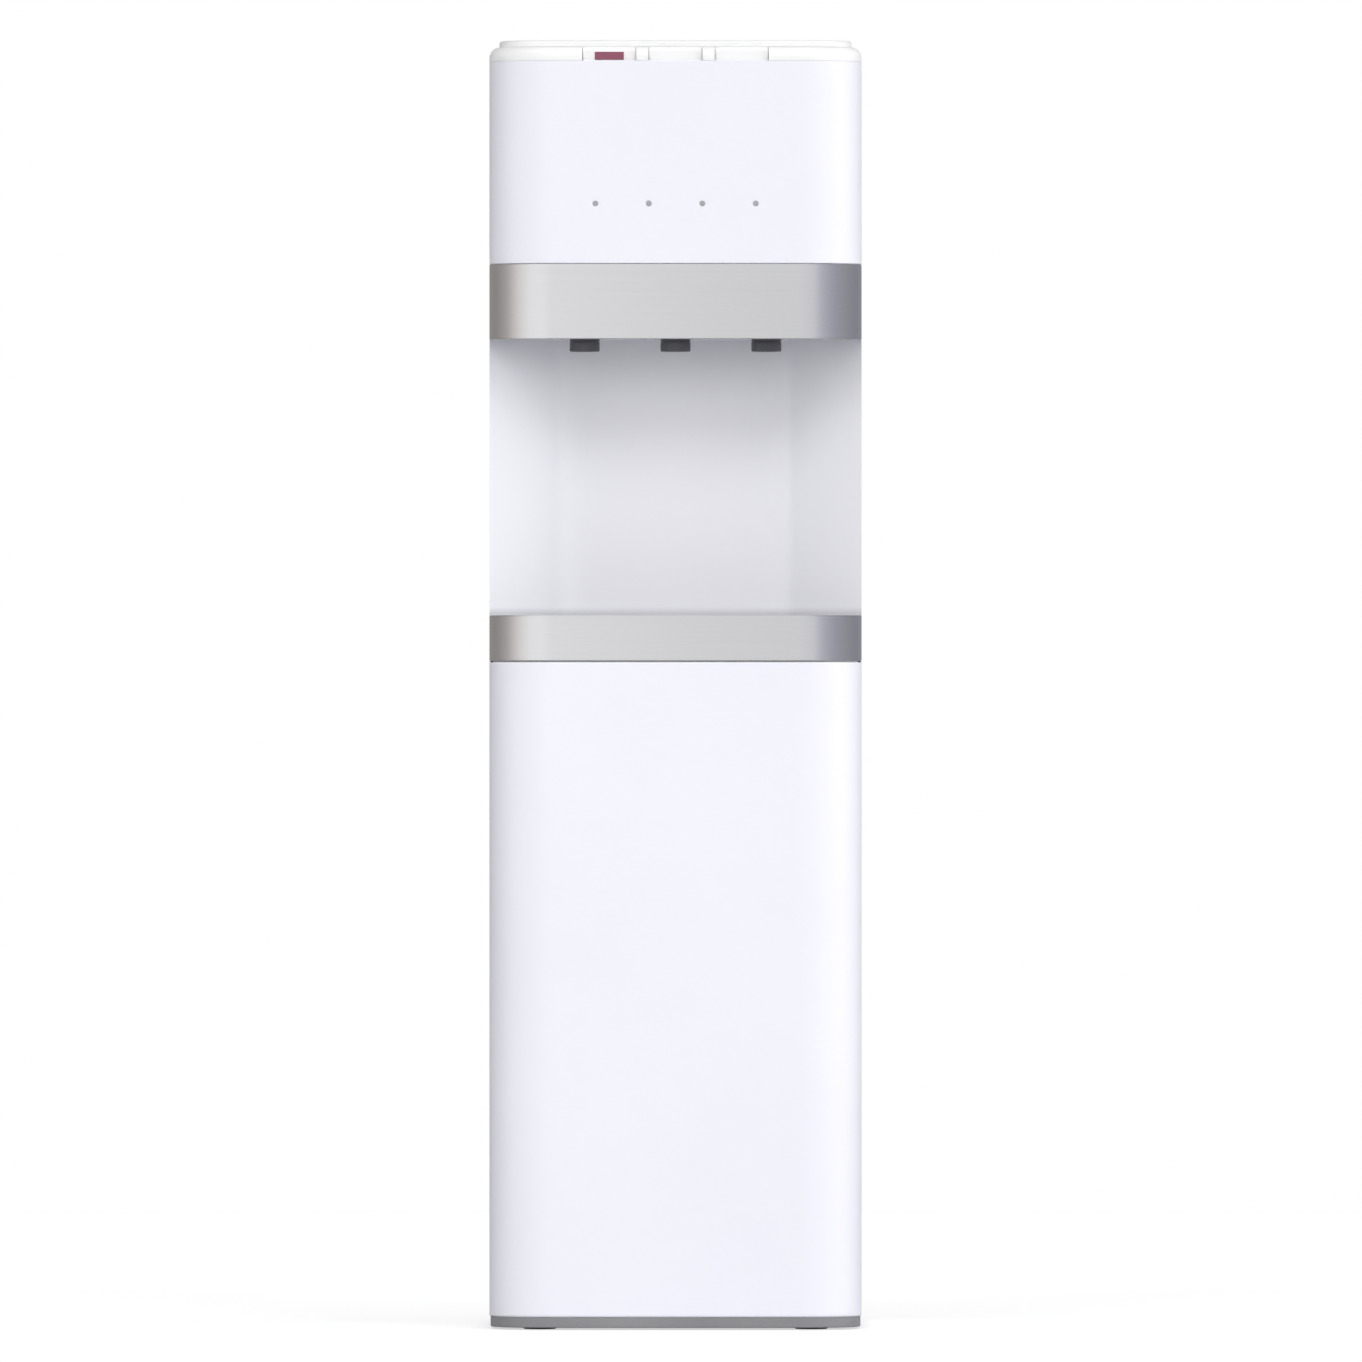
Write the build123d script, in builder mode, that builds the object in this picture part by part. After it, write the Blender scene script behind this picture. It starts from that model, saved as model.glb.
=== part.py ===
from build123d import *
from math import hypot, radians, tan
import os

# Floor-standing water dispenser that takes a bottle on its top: three push taps over an open
# alcove, a cold tank with a compressor, and a hot tank. Millimetres, +Z up, front towards -Y,
# origin on the floor under the middle of its outline.

# Cabinet, seen from above
width = 310.0
cabinet_depth = 320.0
condenser_room = 20.0
corner_radius = 50.0
front_wrap = 62.0
rear_corner = 8.0
wall = 2.5
sheet = 0.8
trim_sheet = 1.0
side_flange = 14.0
tongue = 8.0

# Cabinet, from the floor up
foot_show = 2.0
base_rim = 8.5
lower_panel_height = 544.5
tray_gap = 1.0
tray_band_height = 38.0
alcove_height = 229.5
head_band_height = 62.8
upper_panel_height = 168.7
deck_height = 12.0
lid_thickness = 6.0
cover_height = 220.0

# Clearances between pieces
seat_gap = 0.15
fit = 0.3
key_gap = 0.4
slide_gap = 0.5
running_gap = 0.05

# Base pan and feet
pan_inset = 1.0
pan_wall = 4.0
pan_floor = 3.0
foot_radius = 14.0
foot_from_side = 42.0
foot_from_front = 48.0
foot_from_back = 34.0

# Alcove
alcove_depth = 130.0
alcove_back_width = 180.0
alcove_corner = 32.0
alcove_lip = 3.0
sill_width = 8.0
cove_radius = 1.0
panel_ledge = 14.0

# Drip tray and grille
rim_width = 12.0
tray_clear = 4.0
grille_thickness = 4.0
grille_slot = 3.4
grille_pitch = 8.0
grille_border = 7.0
grille_rib = 5.0
peg_radius = 3.0
peg_spacing = 90.0
peg_depth_spacing = 60.0
peg_from_front = 35.0

# Taps and keys
tap_spacing = 75.6
tap_from_front = 40.0
key_spacing = 55.0
key_width = 44.0
key_depth = 48.0
key_recess = 4.0
key_wall = 2.0
key_skirt = 2.0
key_travel = 5.0
shoulder_radius = 9.0
lock_width = 24.0
lock_height = 6.6
lock_travel = 6.0
lock_proud = 1.0
lock_rise = 0.6
lock_lip = 1.0
nozzle_radius = 12.5
nozzle_neck = 10.8
nozzle_show = 10.0
nozzle_bore = 4.5
valve_height = 36.0
valve_radius = 12.7
valve_flange = 14.0
valve_flange_height = 3.0
valve_chamber = 8.5
valve_seat = 5.0
valve_seat_rise = 19.0
valve_seat_depth = 2.0
valve_socket = 5.2
valve_lid = 4.0
valve_barb = 9.0
inlet_drop = 9.5
plug_clear = 0.8
plug_height = 3.0
stem_head = 3.0
stem_head_rim = 2.0
nozzle_chamfer = 1.2
nozzle_throat = 6.0
stem_radius = 2.5
stem_above_valve = 17.0
spring_radius = 4.6
spring_wire = 0.5
spring_half_turns = 10
bar_width = 14.0
bar_thickness = 3.0
bar_arm = 10.0
guide_drop = 45.0

# Indicators
led_drop = 119.0
led_spacing = 44.4
led_radius = 2.3
led_flange = 3.2
led_flange_height = 1.0
led_gap = 2.0
lamp_half_width = 1.6
lamp_half_height = 1.2
board_width = 176.0
board_height = 24.0
board_thickness = 1.6
board_stand = 6.0
boss_radius = 3.0

# Bottle well, lid, collar and probe
well_radius = 105.0
collar_flange = 7.0
collar_seat = 4.0
collar_rim_depth = 14.0
collar_sleeve = 8.0
neck_radius = 31.0
neck_height = 34.0
probe_radius = 9.0
probe_bore = 4.0
probe_side_bore = 3.0
probe_foot = 20.0
probe_height = 50.0
probe_spigot = 10.0
lid_side_inset = 8.0
lid_front = 58.0
lid_back_inset = 5.0
lid_corner = 34.0
lid_edge = 2.5
lid_plug_gap = 6.0
lid_plug_depth = 2.5

# Cold side
shelf_sheet = 1.2
shelf_flange = 15.0
shelf_front = 70.0
shelf_back = 25.0
tank_radius = 80.0
tank_height = 125.0
tank_wall = 0.8
tank_cover = 5.0
foam_floor = 22.0
foam_wall = 17.0
pipe_radius = 3.2
coil_pitch = 7.4
coil_half_turns = 17
coil_lift = 24.0
baffle_lift = 84.0
baffle_clear = 2.0
baffle_legs = 3
baffle_leg = 4.0
baffle_leg_inset = 16.0
baffle_holes = 6
baffle_hole = 5.0
baffle_hole_ring = 39.6
low_port = 12.0
high_port = 100.0

# Hot side
hot_x = -70.0
hot_back = 90.0
hot_radius = 50.0
hot_height = 135.0
hot_jacket = 12.0
hot_barb_length = 12.0
hot_drop = 183.0
bracket_width = 90.0
bracket_rise = 120.0
heater_radius = 3.5
heater_span = 30.0
heater_rise = 84.0
heater_bend = 14.0

# Hoses
barb_radius = 4.0
barb_bore = 2.8
barb_length = 20.0
hose_wall = 2.0
hose_bend = 12.0
drain_bend = 24.0
hose_clear = 2.0
hose_grip = 8.0
hose_from_side = 10.0

# Compressor and refrigerant circuit
compressor_x = 45.0
compressor_back = 100.0
compressor_radius = 55.0
compressor_height = 135.0
compressor_foot = 18.0
compressor_dome = 30.0
compressor_foot_rim = 4.5
compressor_foot_rise = 6.0
compressor_dome_rim = 7.5
compressor_dome_drop = 12.0
compressor_crown = 24.0
compressor_seam = 3.0
compressor_seam_rise = 62.0
compressor_seam_height = 4.0
mount_height = 12.0
mount_radius = 10.0
mount_pin = 5.0
mount_pin_rise = 2.0
plate_width = 130.0
plate_depth = 96.0
plate_thickness = 2.5
stub_spacing = 53.0
stub_back = 21.0
stub_height = 172.0
suction_rise = 30.0
discharge_rise = 44.0
capillary_loop = 28.0
capillary_radius = 1.2
line_back = 16.0
feed_back = 14.0
drier_radius = 8.5
drier_length = 90.0
drier_cone = 12.0
drier_inset = 19.0
drier_drop = 20.0

# Condenser on the back
condenser_top = 790.0
condenser_rows = 15
condenser_pitch = 34.0
condenser_half = 125.0
condenser_port = 118.0
port_inset = 7.0
port_bend = 8.0
condenser_pipe = 2.4
pipe_clear = 1.0
condenser_wire = 0.7
wire_spacing = 10.0
wires_each_side = 21
wire_overhang = 9.0
weld_bite = 0.15
bracket_block = 6.0
bracket_at = 105.5

# Fittings on the back
screw_radius = 1.6
screw_length = 9.0
screw_head = 3.6
screw_head_edge = 0.9
screw_head_height = 2.2
screw_cross = 4.2
screw_cross_width = 0.8
screw_from_side = 7.0
screw_from_end = 15.0
switch_half_width = 8.5
switch_half_height = 12.0
switch_bezel = 2.0
switch_bezel_height = 1.5
switch_wall = 2.0
switch_depth = 20.0
switch_cavity = 9.0
switch_spacing = 44.0
switch_from_deck = 40.0
rocker_half = 9.6
rocker_tilt = 9.0
rocker_face = 1.8
rocker_edge = 0.6
rocker_foot = 5.0
rocker_clear = 1.1
rocker_pin = 1.0
rocker_pin_depth = 1.5
port_height = 262.0
port_spacing = 120.0
spout_radius = 7.0
spout_length = 12.0
spout_flange = 5.0
spout_flange_height = 2.0
spout_inside = 21.0
spout_shoulder = 8.0
cap_wall = 2.3
cap_edge = 1.0
cap_grip_end = 2.0
cap_grooves = 12
cap_groove = 0.7
gland_radius = 9.0
gland_nut = 6.0
gland_flange = 3.0
gland_length = 11.0
box_width = 100.0
box_height = 130.0
box_depth = 48.0
box_corner = 4.0
box_lip = 10.0
box_drop = 12.0
louvre_width = 96.0
louvre_height = 4.0
louvre_gap = 24.0
louvre_pitch = 12.0
louvre_rows = 13

# Levels
base_z = foot_show
panel_z = base_z + base_rim
tray_z = panel_z + lower_panel_height + tray_gap
alcove_z = tray_z + tray_band_height
head_z = alcove_z + alcove_height
ceiling_z = head_z + trim_sheet
shelf_z = ceiling_z + wall
upper_z = head_z + head_band_height
deck_z = upper_z + upper_panel_height
deck_top = deck_z + deck_height
lid_z = deck_top + fit
cover_z = panel_z + cover_height
tray_floor_z = tray_z - fit - wall
tank_z = shelf_z + shelf_sheet + foam_floor
tank_top = tank_z + tank_height
cover_top = tank_top + tank_cover
led_z = deck_z - led_drop
valve_top = shelf_z + valve_height
stem_top = valve_top + stem_above_valve
arm_z = stem_top + bar_arm
inlet_z = valve_top - inlet_drop
hot_z = head_z - hot_drop
box_bottom = hot_z - bracket_rise - box_drop - box_height

# Places from above
front_y = -(cabinet_depth + condenser_room) / 2
back_y = front_y + cabinet_depth
wrap_y = front_y + front_wrap
inside_back = back_y - sheet
inside_x = width / 2 - sheet
alcove_y = front_y + alcove_depth
tap_y = front_y + tap_from_front
key_back_y = front_y + key_recess + key_depth
well_y = (key_back_y + back_y) / 2
hot_y = back_y - hot_back
line_y = back_y - line_back
feed_y = back_y - feed_back
compressor_y = back_y - compressor_back
hose_radius = barb_radius + running_gap + hose_wall
hose_bore = barb_radius + running_gap
coil_radius = tank_radius + pipe_radius + seat_gap
foam_inside = coil_radius + pipe_radius + fit
foam_radius = foam_inside + foam_wall

taps = {"hot": -1, "room": 0, "cold": 1}


def rear_plane(y):
    """Upright plane at y with local x along X and local y along Z, facing the front."""
    return Plane.XZ.offset(-y)


def cabinet_plan(inset, rear):
    """Plan of the cabinet up to a rear line: rounded front corners, drawn in by an inset."""
    with BuildSketch() as plan:
        with Locations((0, (front_y + inset + rear) / 2)):
            Rectangle(width - 2 * inset, rear - front_y - inset)
        fillet(plan.vertices().group_by(Axis.Y)[0], corner_radius - inset)
    return plan.sketch


def wrap_plan(outside, inside, rear):
    """Plan of a strip round the front, between two insets and open at the rear line."""
    with BuildSketch() as plan:
        add(cabinet_plan(outside, rear))
        add(cabinet_plan(inside, rear + wall), mode=Mode.SUBTRACT)
    return plan.sketch


def alcove_wedge(inset):
    """Plan between the alcove's back and its flared sides, open past the front and sides."""
    reach = width / 2 + alcove_depth / 3
    lip_y = wrap_y - alcove_lip
    slope = (alcove_y - lip_y) / (width / 2 - alcove_back_width / 2)
    reach_y = lip_y - slope * (reach - width / 2)
    open_y = min(front_y, reach_y) - corner_radius
    half = alcove_back_width / 2
    with BuildSketch() as plan:
        with BuildLine():
            Polyline(
                (-reach, open_y), (-reach, reach_y), (-half, alcove_y),
                (half, alcove_y), (reach, reach_y), (reach, open_y), close=True,
            )
        make_face()
        fillet(plan.vertices().group_by(Axis.Y)[-1], alcove_corner)
        if inset:
            offset(amount=-inset)
    return plan.sketch


def alcove_plan(front_inset, back_inset, rear=alcove_y + 2 * wall):
    """Plan inside the alcove: front and sides drawn in by one inset, back by another."""
    with BuildSketch() as plan:
        add(cabinet_plan(front_inset, rear))
        add(alcove_wedge(back_inset), mode=Mode.INTERSECT)
    return plan.sketch


def prism(plan, z, height, mode=Mode.ADD):
    """Adds, cuts or keeps an upright prism of a plan."""
    with BuildSketch(Plane.XY.offset(z)) as base:
        add(plan)
    extrude(base.sketch, amount=height, mode=mode)


def block(x, y, z, mode=Mode.ADD):
    """Adds, cuts or keeps a box between a low and a high value along each axis."""
    with Locations(((x[0] + x[1]) / 2, (y[0] + y[1]) / 2, (z[0] + z[1]) / 2)):
        Box(x[1] - x[0], y[1] - y[0], z[1] - z[0], mode=mode)


def rod(start, along, length, radius, mode=Mode.ADD):
    """Adds or cuts a round bar from a start point in a direction."""
    with BuildSketch(Plane(origin=start, z_dir=along)) as end:
        Circle(radius)
    extrude(end.sketch, amount=length, mode=mode)


def turned(x, y, profile, mode=Mode.ADD):
    """Adds or cuts a body turned about the upright axis at x, y, from (radius, z) corners."""
    with BuildSketch(Plane(origin=(x, y, 0), x_dir=(1, 0, 0), z_dir=(0, -1, 0))) as half:
        with BuildLine():
            Polyline(*profile, close=True)
        make_face()
    revolve(half.sketch, axis=Axis((x, y, 0), (0, 0, 1)), mode=mode)


def turned_back(x, z, profile, mode=Mode.ADD):
    """Adds or cuts a body turned about the level axis at x, z, from (radius, y) corners."""
    with BuildSketch(Plane(origin=(x, 0, z), x_dir=(1, 0, 0), z_dir=(0, 0, 1))) as half:
        with BuildLine():
            Polyline(*profile, close=True)
        make_face()
    revolve(half.sketch, axis=Axis((x, 0, z), (0, 1, 0)), mode=mode)


def pipe(points, bends, outer, inner=0.0):
    """Adds a round tube along straight runs joined by tangent arcs."""
    with BuildLine() as path:
        FilletPolyline(*points, radius=bends)
    with BuildSketch(Plane(origin=path.line @ 0, z_dir=path.line % 0)) as section:
        Circle(outer)
        if inner:
            Circle(inner, mode=Mode.SUBTRACT)
    sweep(section.sketch, path=path.line)


def coil(x, y, z, side, radius, pitch, half_turns, wire):
    """Adds one unbroken coil about an upright axis, each half turn a flat tilted arc."""
    rise = pitch / 2
    swell = hypot(radius, pitch / 4)
    with BuildLine() as path:
        for turn in range(half_turns):
            low = z + turn * rise
            ThreePointArc(
                (x + side * radius, y, low),
                (x, y + side * swell, low + rise / 2),
                (x - side * radius, y, low + rise),
            )
            side = -side
    start = Plane(origin=path.line @ 0, x_dir=(1, 0, 0), z_dir=path.line % 0)
    with BuildSketch(start) as section:
        Circle(wire)
    sweep(section.sketch, path=path.line)


# Base pan: a dark tray that carries the whole cabinet, hollow underneath
with BuildPart() as base_pan:
    prism(cabinet_plan(pan_inset, back_y), base_z, base_rim)
    hollow = base_rim - pan_floor
    prism(cabinet_plan(pan_inset + pan_wall, back_y - pan_wall), base_z, hollow, Mode.SUBTRACT)
    fillet(base_pan.edges().group_by(Axis.Z)[0].sort_by(Axis.Y)[:1], pan_inset)

# Feet: four rubber pads under the pan
foot_x = width / 2 - foot_from_side
foot_ys = (front_y + foot_from_front, back_y - foot_from_back)
with BuildPart() as feet:
    with Locations(*[(x, y, 0) for x in (-foot_x, foot_x) for y in foot_ys]):
        Cylinder(
            foot_radius, panel_z - pan_floor,
            align=(Align.CENTER, Align.CENTER, Align.MIN),
        )
    chamfer(feet.edges().group_by(Axis.Z)[0], foot_show / 2)

# Side panels: bent steel sheet with a flange for the rear panel and its screws
screw_x = width / 2 - screw_from_side
panel_screws = 5
panel_screw_step = (deck_z - cover_z - 2 * screw_from_end) / (panel_screws - 1)
screw_zs = [cover_z + screw_from_end + panel_screw_step * i for i in range(panel_screws)]
screw_zs += [panel_z + screw_from_end, cover_z - screw_from_end]


def side_panel(side):
    """One side panel; side is -1 for the left and 1 for the right."""
    outer = width / 2
    with BuildPart() as panel:
        xs = sorted((side * inside_x, side * outer))
        block(xs, (wrap_y, inside_back), (panel_z, deck_z))
        flange_xs = sorted((side * (outer - side_flange), side * outer))
        block(flange_xs, (inside_back - sheet, inside_back), (panel_z, deck_z))
        for z in screw_zs:
            start = (side * screw_x, inside_back, z)
            rod(start, (0, -1, 0), side_flange, screw_radius + seat_gap, Mode.SUBTRACT)
    return panel


left_side_panel = side_panel(-1)
right_side_panel = side_panel(1)


def flat_sheet(low, high):
    """Adds a sheet across the back between two levels, with its screw holes."""
    block((-width / 2, width / 2), (inside_back, back_y), (low, high))
    for z in screw_zs:
        for side in (-1, 1):
            start = (side * screw_x, back_y, z)
            rod(start, (0, -1, 0), sheet, screw_radius + fit * 2, Mode.SUBTRACT)


# Rear panel: flat steel, with openings for the switches, the pipes and the two ports
switch_z = deck_z - switch_from_deck
switch_xs = (-switch_spacing / 2, switch_spacing / 2)
condenser_bottom = condenser_top - (condenser_rows - 1) * condenser_pitch
drain_x = port_spacing / 2
gland_x = -port_spacing / 2
with BuildPart() as rear_panel:
    flat_sheet(cover_z + slide_gap, deck_z)
    for x in switch_xs:
        cut_x = switch_half_width + seat_gap
        cut_z = switch_half_height + seat_gap
        block(
            (x - cut_x, x + cut_x), (inside_back, back_y),
            (switch_z - cut_z, switch_z + cut_z), Mode.SUBTRACT,
        )
    pipe_hole = condenser_pipe + pipe_clear
    rod((condenser_port, back_y, condenser_top), (0, -1, 0), sheet, pipe_hole, Mode.SUBTRACT)
    rod((-condenser_port, back_y, condenser_bottom), (0, -1, 0), sheet, pipe_hole, Mode.SUBTRACT)
    rod((drain_x, back_y, port_height), (0, -1, 0), sheet, spout_radius + fit, Mode.SUBTRACT)
    rod((gland_x, back_y, port_height), (0, -1, 0), sheet, spout_radius + fit, Mode.SUBTRACT)

# Compressor cover: the low part of the back, with rows of air slots
louvre_z = panel_z + cover_height / 2
louvre_step = louvre_width + louvre_gap
with BuildPart() as compressor_cover:
    flat_sheet(panel_z, cover_z)
    with BuildSketch(rear_plane(back_y)):
        with Locations((0, louvre_z)):
            with GridLocations(louvre_step, louvre_pitch, 2, louvre_rows):
                SlotOverall(louvre_width, louvre_height)
    extrude(amount=sheet, mode=Mode.SUBTRACT)

# Screws that hold the rear panel and the compressor cover
with BuildPart() as screw:
    turned_back(0, 0, [
        (0, -screw_length), (screw_radius, screw_radius - screw_length), (screw_radius, 0),
        (screw_head, 0), (screw_head, screw_head_edge),
        (screw_head - screw_head_edge, screw_head_height), (0, screw_head_height),
    ])
    for across, up in ((screw_cross, screw_cross_width), (screw_cross_width, screw_cross)):
        cross_ys = (screw_head_edge, screw_head_height)
        block((-across / 2, across / 2), cross_ys, (-up / 2, up / 2), Mode.SUBTRACT)
with BuildPart() as rear_screws:
    for z in screw_zs:
        for side in (-1, 1):
            add(screw.part.moved(Location((side * screw_x, back_y, z))))


def front_panel(z, height):
    """Adds the wall of a front moulding, with a tongue behind each side panel."""
    behind = sheet + seat_gap
    prism(wrap_plan(0, wall, wrap_y), z, height)
    prism(wrap_plan(behind, wall, wrap_y + tongue), z, height)


# Lower front panel: one tall plain moulding with a ledge inside for the tray shelf
with BuildPart() as lower_front_panel:
    front_panel(panel_z, lower_panel_height)
    prism(wrap_plan(wall, wall + panel_ledge, wrap_y), tray_floor_z - wall, wall)

# Tray shelf: the floor the drip tray slides on, with the wall that carries the alcove liner
with BuildPart() as tray_shelf:
    shelf_inset = wall + fit
    prism(alcove_plan(shelf_inset, -wall), tray_floor_z, alcove_z - wall - tray_floor_z)
    hollow_z = tray_floor_z + wall
    prism(alcove_wedge(0), hollow_z, tray_band_height, Mode.SUBTRACT)

# Drip tray: a pan under the grille, with pegs that carry the grille
pan_front = trim_sheet + seat_gap
pan_top = alcove_z - wall - slide_gap
peg_ys = (front_y + peg_from_front, front_y + peg_from_front + peg_depth_spacing)
with BuildPart() as drip_tray:
    prism(alcove_plan(pan_front, tray_clear), tray_z, pan_top - tray_z)
    hollow_z = tray_z + wall
    prism(
        alcove_plan(pan_front + wall, tray_clear + wall), hollow_z,
        tray_band_height, Mode.SUBTRACT,
    )
    for y in peg_ys:
        for x in (-peg_spacing / 2, peg_spacing / 2):
            rod((x, y, tray_z), (0, 0, 1), tray_band_height - grille_thickness, peg_radius)

# Tray band: the bent steel front of the drip tray, with a rim turned in round the grille
with BuildPart() as tray_band:
    band_rear = wrap_y - slide_gap
    prism(wrap_plan(0, trim_sheet, band_rear), tray_z, tray_band_height)
    with BuildSketch() as rim:
        add(alcove_plan(0, sill_width + fit, band_rear))
        add(cabinet_plan(rim_width, wrap_y), mode=Mode.SUBTRACT)
    prism(rim.sketch, alcove_z - trim_sheet, trim_sheet)

# Drip grille: a slotted plate that lifts off the tray
with BuildPart() as drip_grille:
    prism(alcove_plan(rim_width + fit, sill_width + fit), alcove_z - grille_thickness, grille_thickness)
    rows = int(alcove_depth / grille_pitch) + 1
    with BuildSketch(Plane.XY.offset(alcove_z)) as slots:
        with Locations((0, (front_y + alcove_y) / 2)):
            with GridLocations(width, grille_pitch, 1, rows):
                Rectangle(width, grille_slot)
        with Locations(*[(x * peg_spacing / 2, front_y + alcove_depth / 2) for x in (-2, -1, 1, 2)]):
            Rectangle(grille_rib, alcove_depth, mode=Mode.SUBTRACT)
        border = grille_border + fit
        add(alcove_plan(rim_width + border, sill_width + border), mode=Mode.INTERSECT)
    extrude(slots.sketch, amount=-grille_thickness, mode=Mode.SUBTRACT)

# Alcove liner: back, flared sides, ceiling and a sill with a rounded cove behind the grille
with BuildPart() as alcove_hollow:
    prism(alcove_wedge(0), alcove_z, ceiling_z - alcove_z)
    floor_edges = alcove_hollow.edges().group_by(Axis.Z)[0]
    behind = [edge for edge in floor_edges if edge.center().Y > wrap_y - corner_radius / 2]
    fillet(behind, cove_radius)
with BuildPart() as liner_room:
    inside_band = trim_sheet + seat_gap
    rear = alcove_y + 2 * wall
    prism(cabinet_plan(inside_band, rear), alcove_z - wall, shelf_z - alcove_z + wall)
    prism(cabinet_plan(0, rear), alcove_z + fit, alcove_height - 2 * fit)
    for side in (-1, 1):
        xs = sorted((side * (inside_x - seat_gap), side * width))
        block(xs, (wrap_y, rear), (alcove_z - wall, shelf_z), Mode.SUBTRACT)
with BuildPart() as alcove_liner:
    prism(alcove_wedge(-wall), alcove_z - wall, shelf_z - alcove_z + wall)
    add(alcove_hollow.part, mode=Mode.SUBTRACT)
    prism(alcove_wedge(sill_width), alcove_z - wall, wall, Mode.SUBTRACT)
    add(liner_room.part, mode=Mode.INTERSECT)
    for place in taps.values():
        start = (place * tap_spacing, tap_y, ceiling_z)
        rod(start, (0, 0, 1), wall, nozzle_neck + seat_gap, Mode.SUBTRACT)

# Head band: bent steel with a lip turned in at its foot and its top
with BuildPart() as head_band:
    prism(wrap_plan(0, trim_sheet, wrap_y), head_z, head_band_height)
    lip = tongue + trim_sheet
    prism(wrap_plan(0, lip, wrap_y), upper_z - trim_sheet, trim_sheet)
    with BuildSketch() as foot_lip:
        add(wrap_plan(0, lip, wrap_y))
        add(alcove_wedge(fit), mode=Mode.INTERSECT)
    prism(foot_lip.sketch, head_z, trim_sheet)

# Upper front panel: indicator holes, board bosses and the ledge that guides the push bars
led_xs = [led_spacing * (i - 1.5) for i in range(4)]
board_front = front_y + wall + board_stand
guide_z = deck_z - guide_drop
boss_x = board_width / 2 - 2 * boss_radius
with BuildPart() as upper_front_panel:
    front_panel(upper_z, upper_panel_height)
    for x in led_xs:
        rod((x, front_y, led_z), (0, 1, 0), wall, led_radius + running_gap, Mode.SUBTRACT)
    for x in (-boss_x, boss_x):
        rod((x, front_y + wall, led_z), (0, 1, 0), board_stand, boss_radius)
    guide_half = key_spacing + bar_width
    block(
        (-guide_half, guide_half), (front_y + wall, tap_y + 3 * bar_thickness),
        (guide_z, guide_z + wall),
    )
    for place in taps.values():
        half_x = bar_width / 2 + fit
        half_y = bar_thickness / 2 + fit
        x = place * key_spacing
        block(
            (x - half_x, x + half_x), (tap_y - half_y, tap_y + half_y),
            (guide_z, guide_z + wall), Mode.SUBTRACT,
        )

# Indicator lenses: four clear pins seated in the upper panel
lens_back = front_y + wall + board_stand - led_gap
with BuildPart() as indicator_lenses:
    for x in led_xs:
        rod((x, front_y, led_z), (0, 1, 0), lens_back - front_y, led_radius)
        rod((x, front_y + wall, led_z), (0, 1, 0), led_flange_height, led_flange)

# Indicator board on its bosses, with one lamp behind each lens
with BuildPart() as indicator_board:
    half_z = board_height / 2
    block(
        (-board_width / 2, board_width / 2), (board_front, board_front + board_thickness),
        (led_z - half_z, led_z + half_z),
    )
    for x in led_xs:
        block(
            (x - lamp_half_width, x + lamp_half_width), (lens_back + fit, board_front),
            (led_z - lamp_half_height, led_z + lamp_half_height),
        )


def deck_block(inset, z):
    """A block of the deck's outline with its top edge rounded, drawn in by an inset."""
    with BuildPart() as solid:
        prism(cabinet_plan(inset, back_y - inset), z, deck_top - inset_drop(inset) - z)
        uprights = solid.edges().filter_by(Axis.Z).group_by(Axis.Y)[-1]
        fillet(uprights, rear_corner - min(inset, rear_corner / 2))
        fillet(solid.edges().group_by(Axis.Z)[-1], shoulder_radius - inset)
    return solid.part


def inset_drop(inset):
    """How far below the deck's top a block with this inset ends; a key's block ends level."""
    return inset if inset == wall else 0


# Top deck: shell with a rounded shoulder, three key windows and the rebate for the collar
with BuildPart() as top_deck:
    add(deck_block(0, deck_z))
    add(deck_block(wall, deck_z), mode=Mode.SUBTRACT)
    rebate_z = deck_top - wall
    ring = collar_flange + collar_seat
    turned(0, well_y, [
        (well_radius - ring, rebate_z - wall), (well_radius + ring, rebate_z - wall),
        (well_radius + ring, rebate_z), (well_radius - ring, rebate_z),
    ])
    rod((0, well_y, deck_z), (0, 0, 1), deck_height, well_radius, Mode.SUBTRACT)
    rebate_radius = well_radius + collar_flange + seat_gap
    rod((0, well_y, rebate_z), (0, 0, 1), wall, rebate_radius, Mode.SUBTRACT)
    for place in taps.values():
        half = key_width / 2 + key_gap
        x = place * key_spacing
        block(
            (x - half, x + half), (front_y, key_back_y + key_gap),
            (deck_z, deck_top), Mode.SUBTRACT,
        )

# Lid over the bottle well: a flat plate with a ring below that centres it
lid_low_y = front_y + lid_front
lid_high_y = back_y - lid_back_inset
lid_plug_radius = well_radius - fit - wall - lid_plug_gap
with BuildPart() as lid:
    with BuildSketch(Plane.XY.offset(lid_z)):
        with Locations((0, (lid_low_y + lid_high_y) / 2)):
            RectangleRounded(width - 2 * lid_side_inset, lid_high_y - lid_low_y, lid_corner)
    extrude(amount=lid_thickness)
    fillet(lid.edges().group_by(Axis.Z)[-1], lid_edge)
    turned(0, well_y, [
        (lid_plug_radius - wall, lid_z - lid_plug_depth), (lid_plug_radius, lid_z - lid_plug_depth),
        (lid_plug_radius, lid_z), (lid_plug_radius - wall, lid_z),
    ])

# Bottle collar: flange in the deck's rebate and a sloped dish, with a sleeve for the probe's cup
collar_inside = well_radius - fit - wall
collar_low = deck_top - collar_rim_depth
neck_top = cover_top + neck_height
collar_top = deck_top - fit
rim_radius = well_radius + collar_flange
dish_slope = (collar_low - neck_top) / (collar_inside - neck_radius)
sleeve_inside = neck_radius + wall + fit
sleeve_end = neck_top + (sleeve_inside - neck_radius) * dish_slope
with BuildPart() as bottle_collar:
    turned(0, well_y, [
        (sleeve_inside, neck_top - collar_sleeve), (sleeve_inside + wall, neck_top - collar_sleeve),
        (sleeve_inside + wall, sleeve_end), (collar_inside + wall, collar_low),
        (collar_inside + wall, deck_top - wall), (rim_radius, deck_top - wall),
        (rim_radius, collar_top), (collar_inside, collar_top),
        (collar_inside, collar_low + wall), (sleeve_inside, sleeve_end + wall),
    ])

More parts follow.
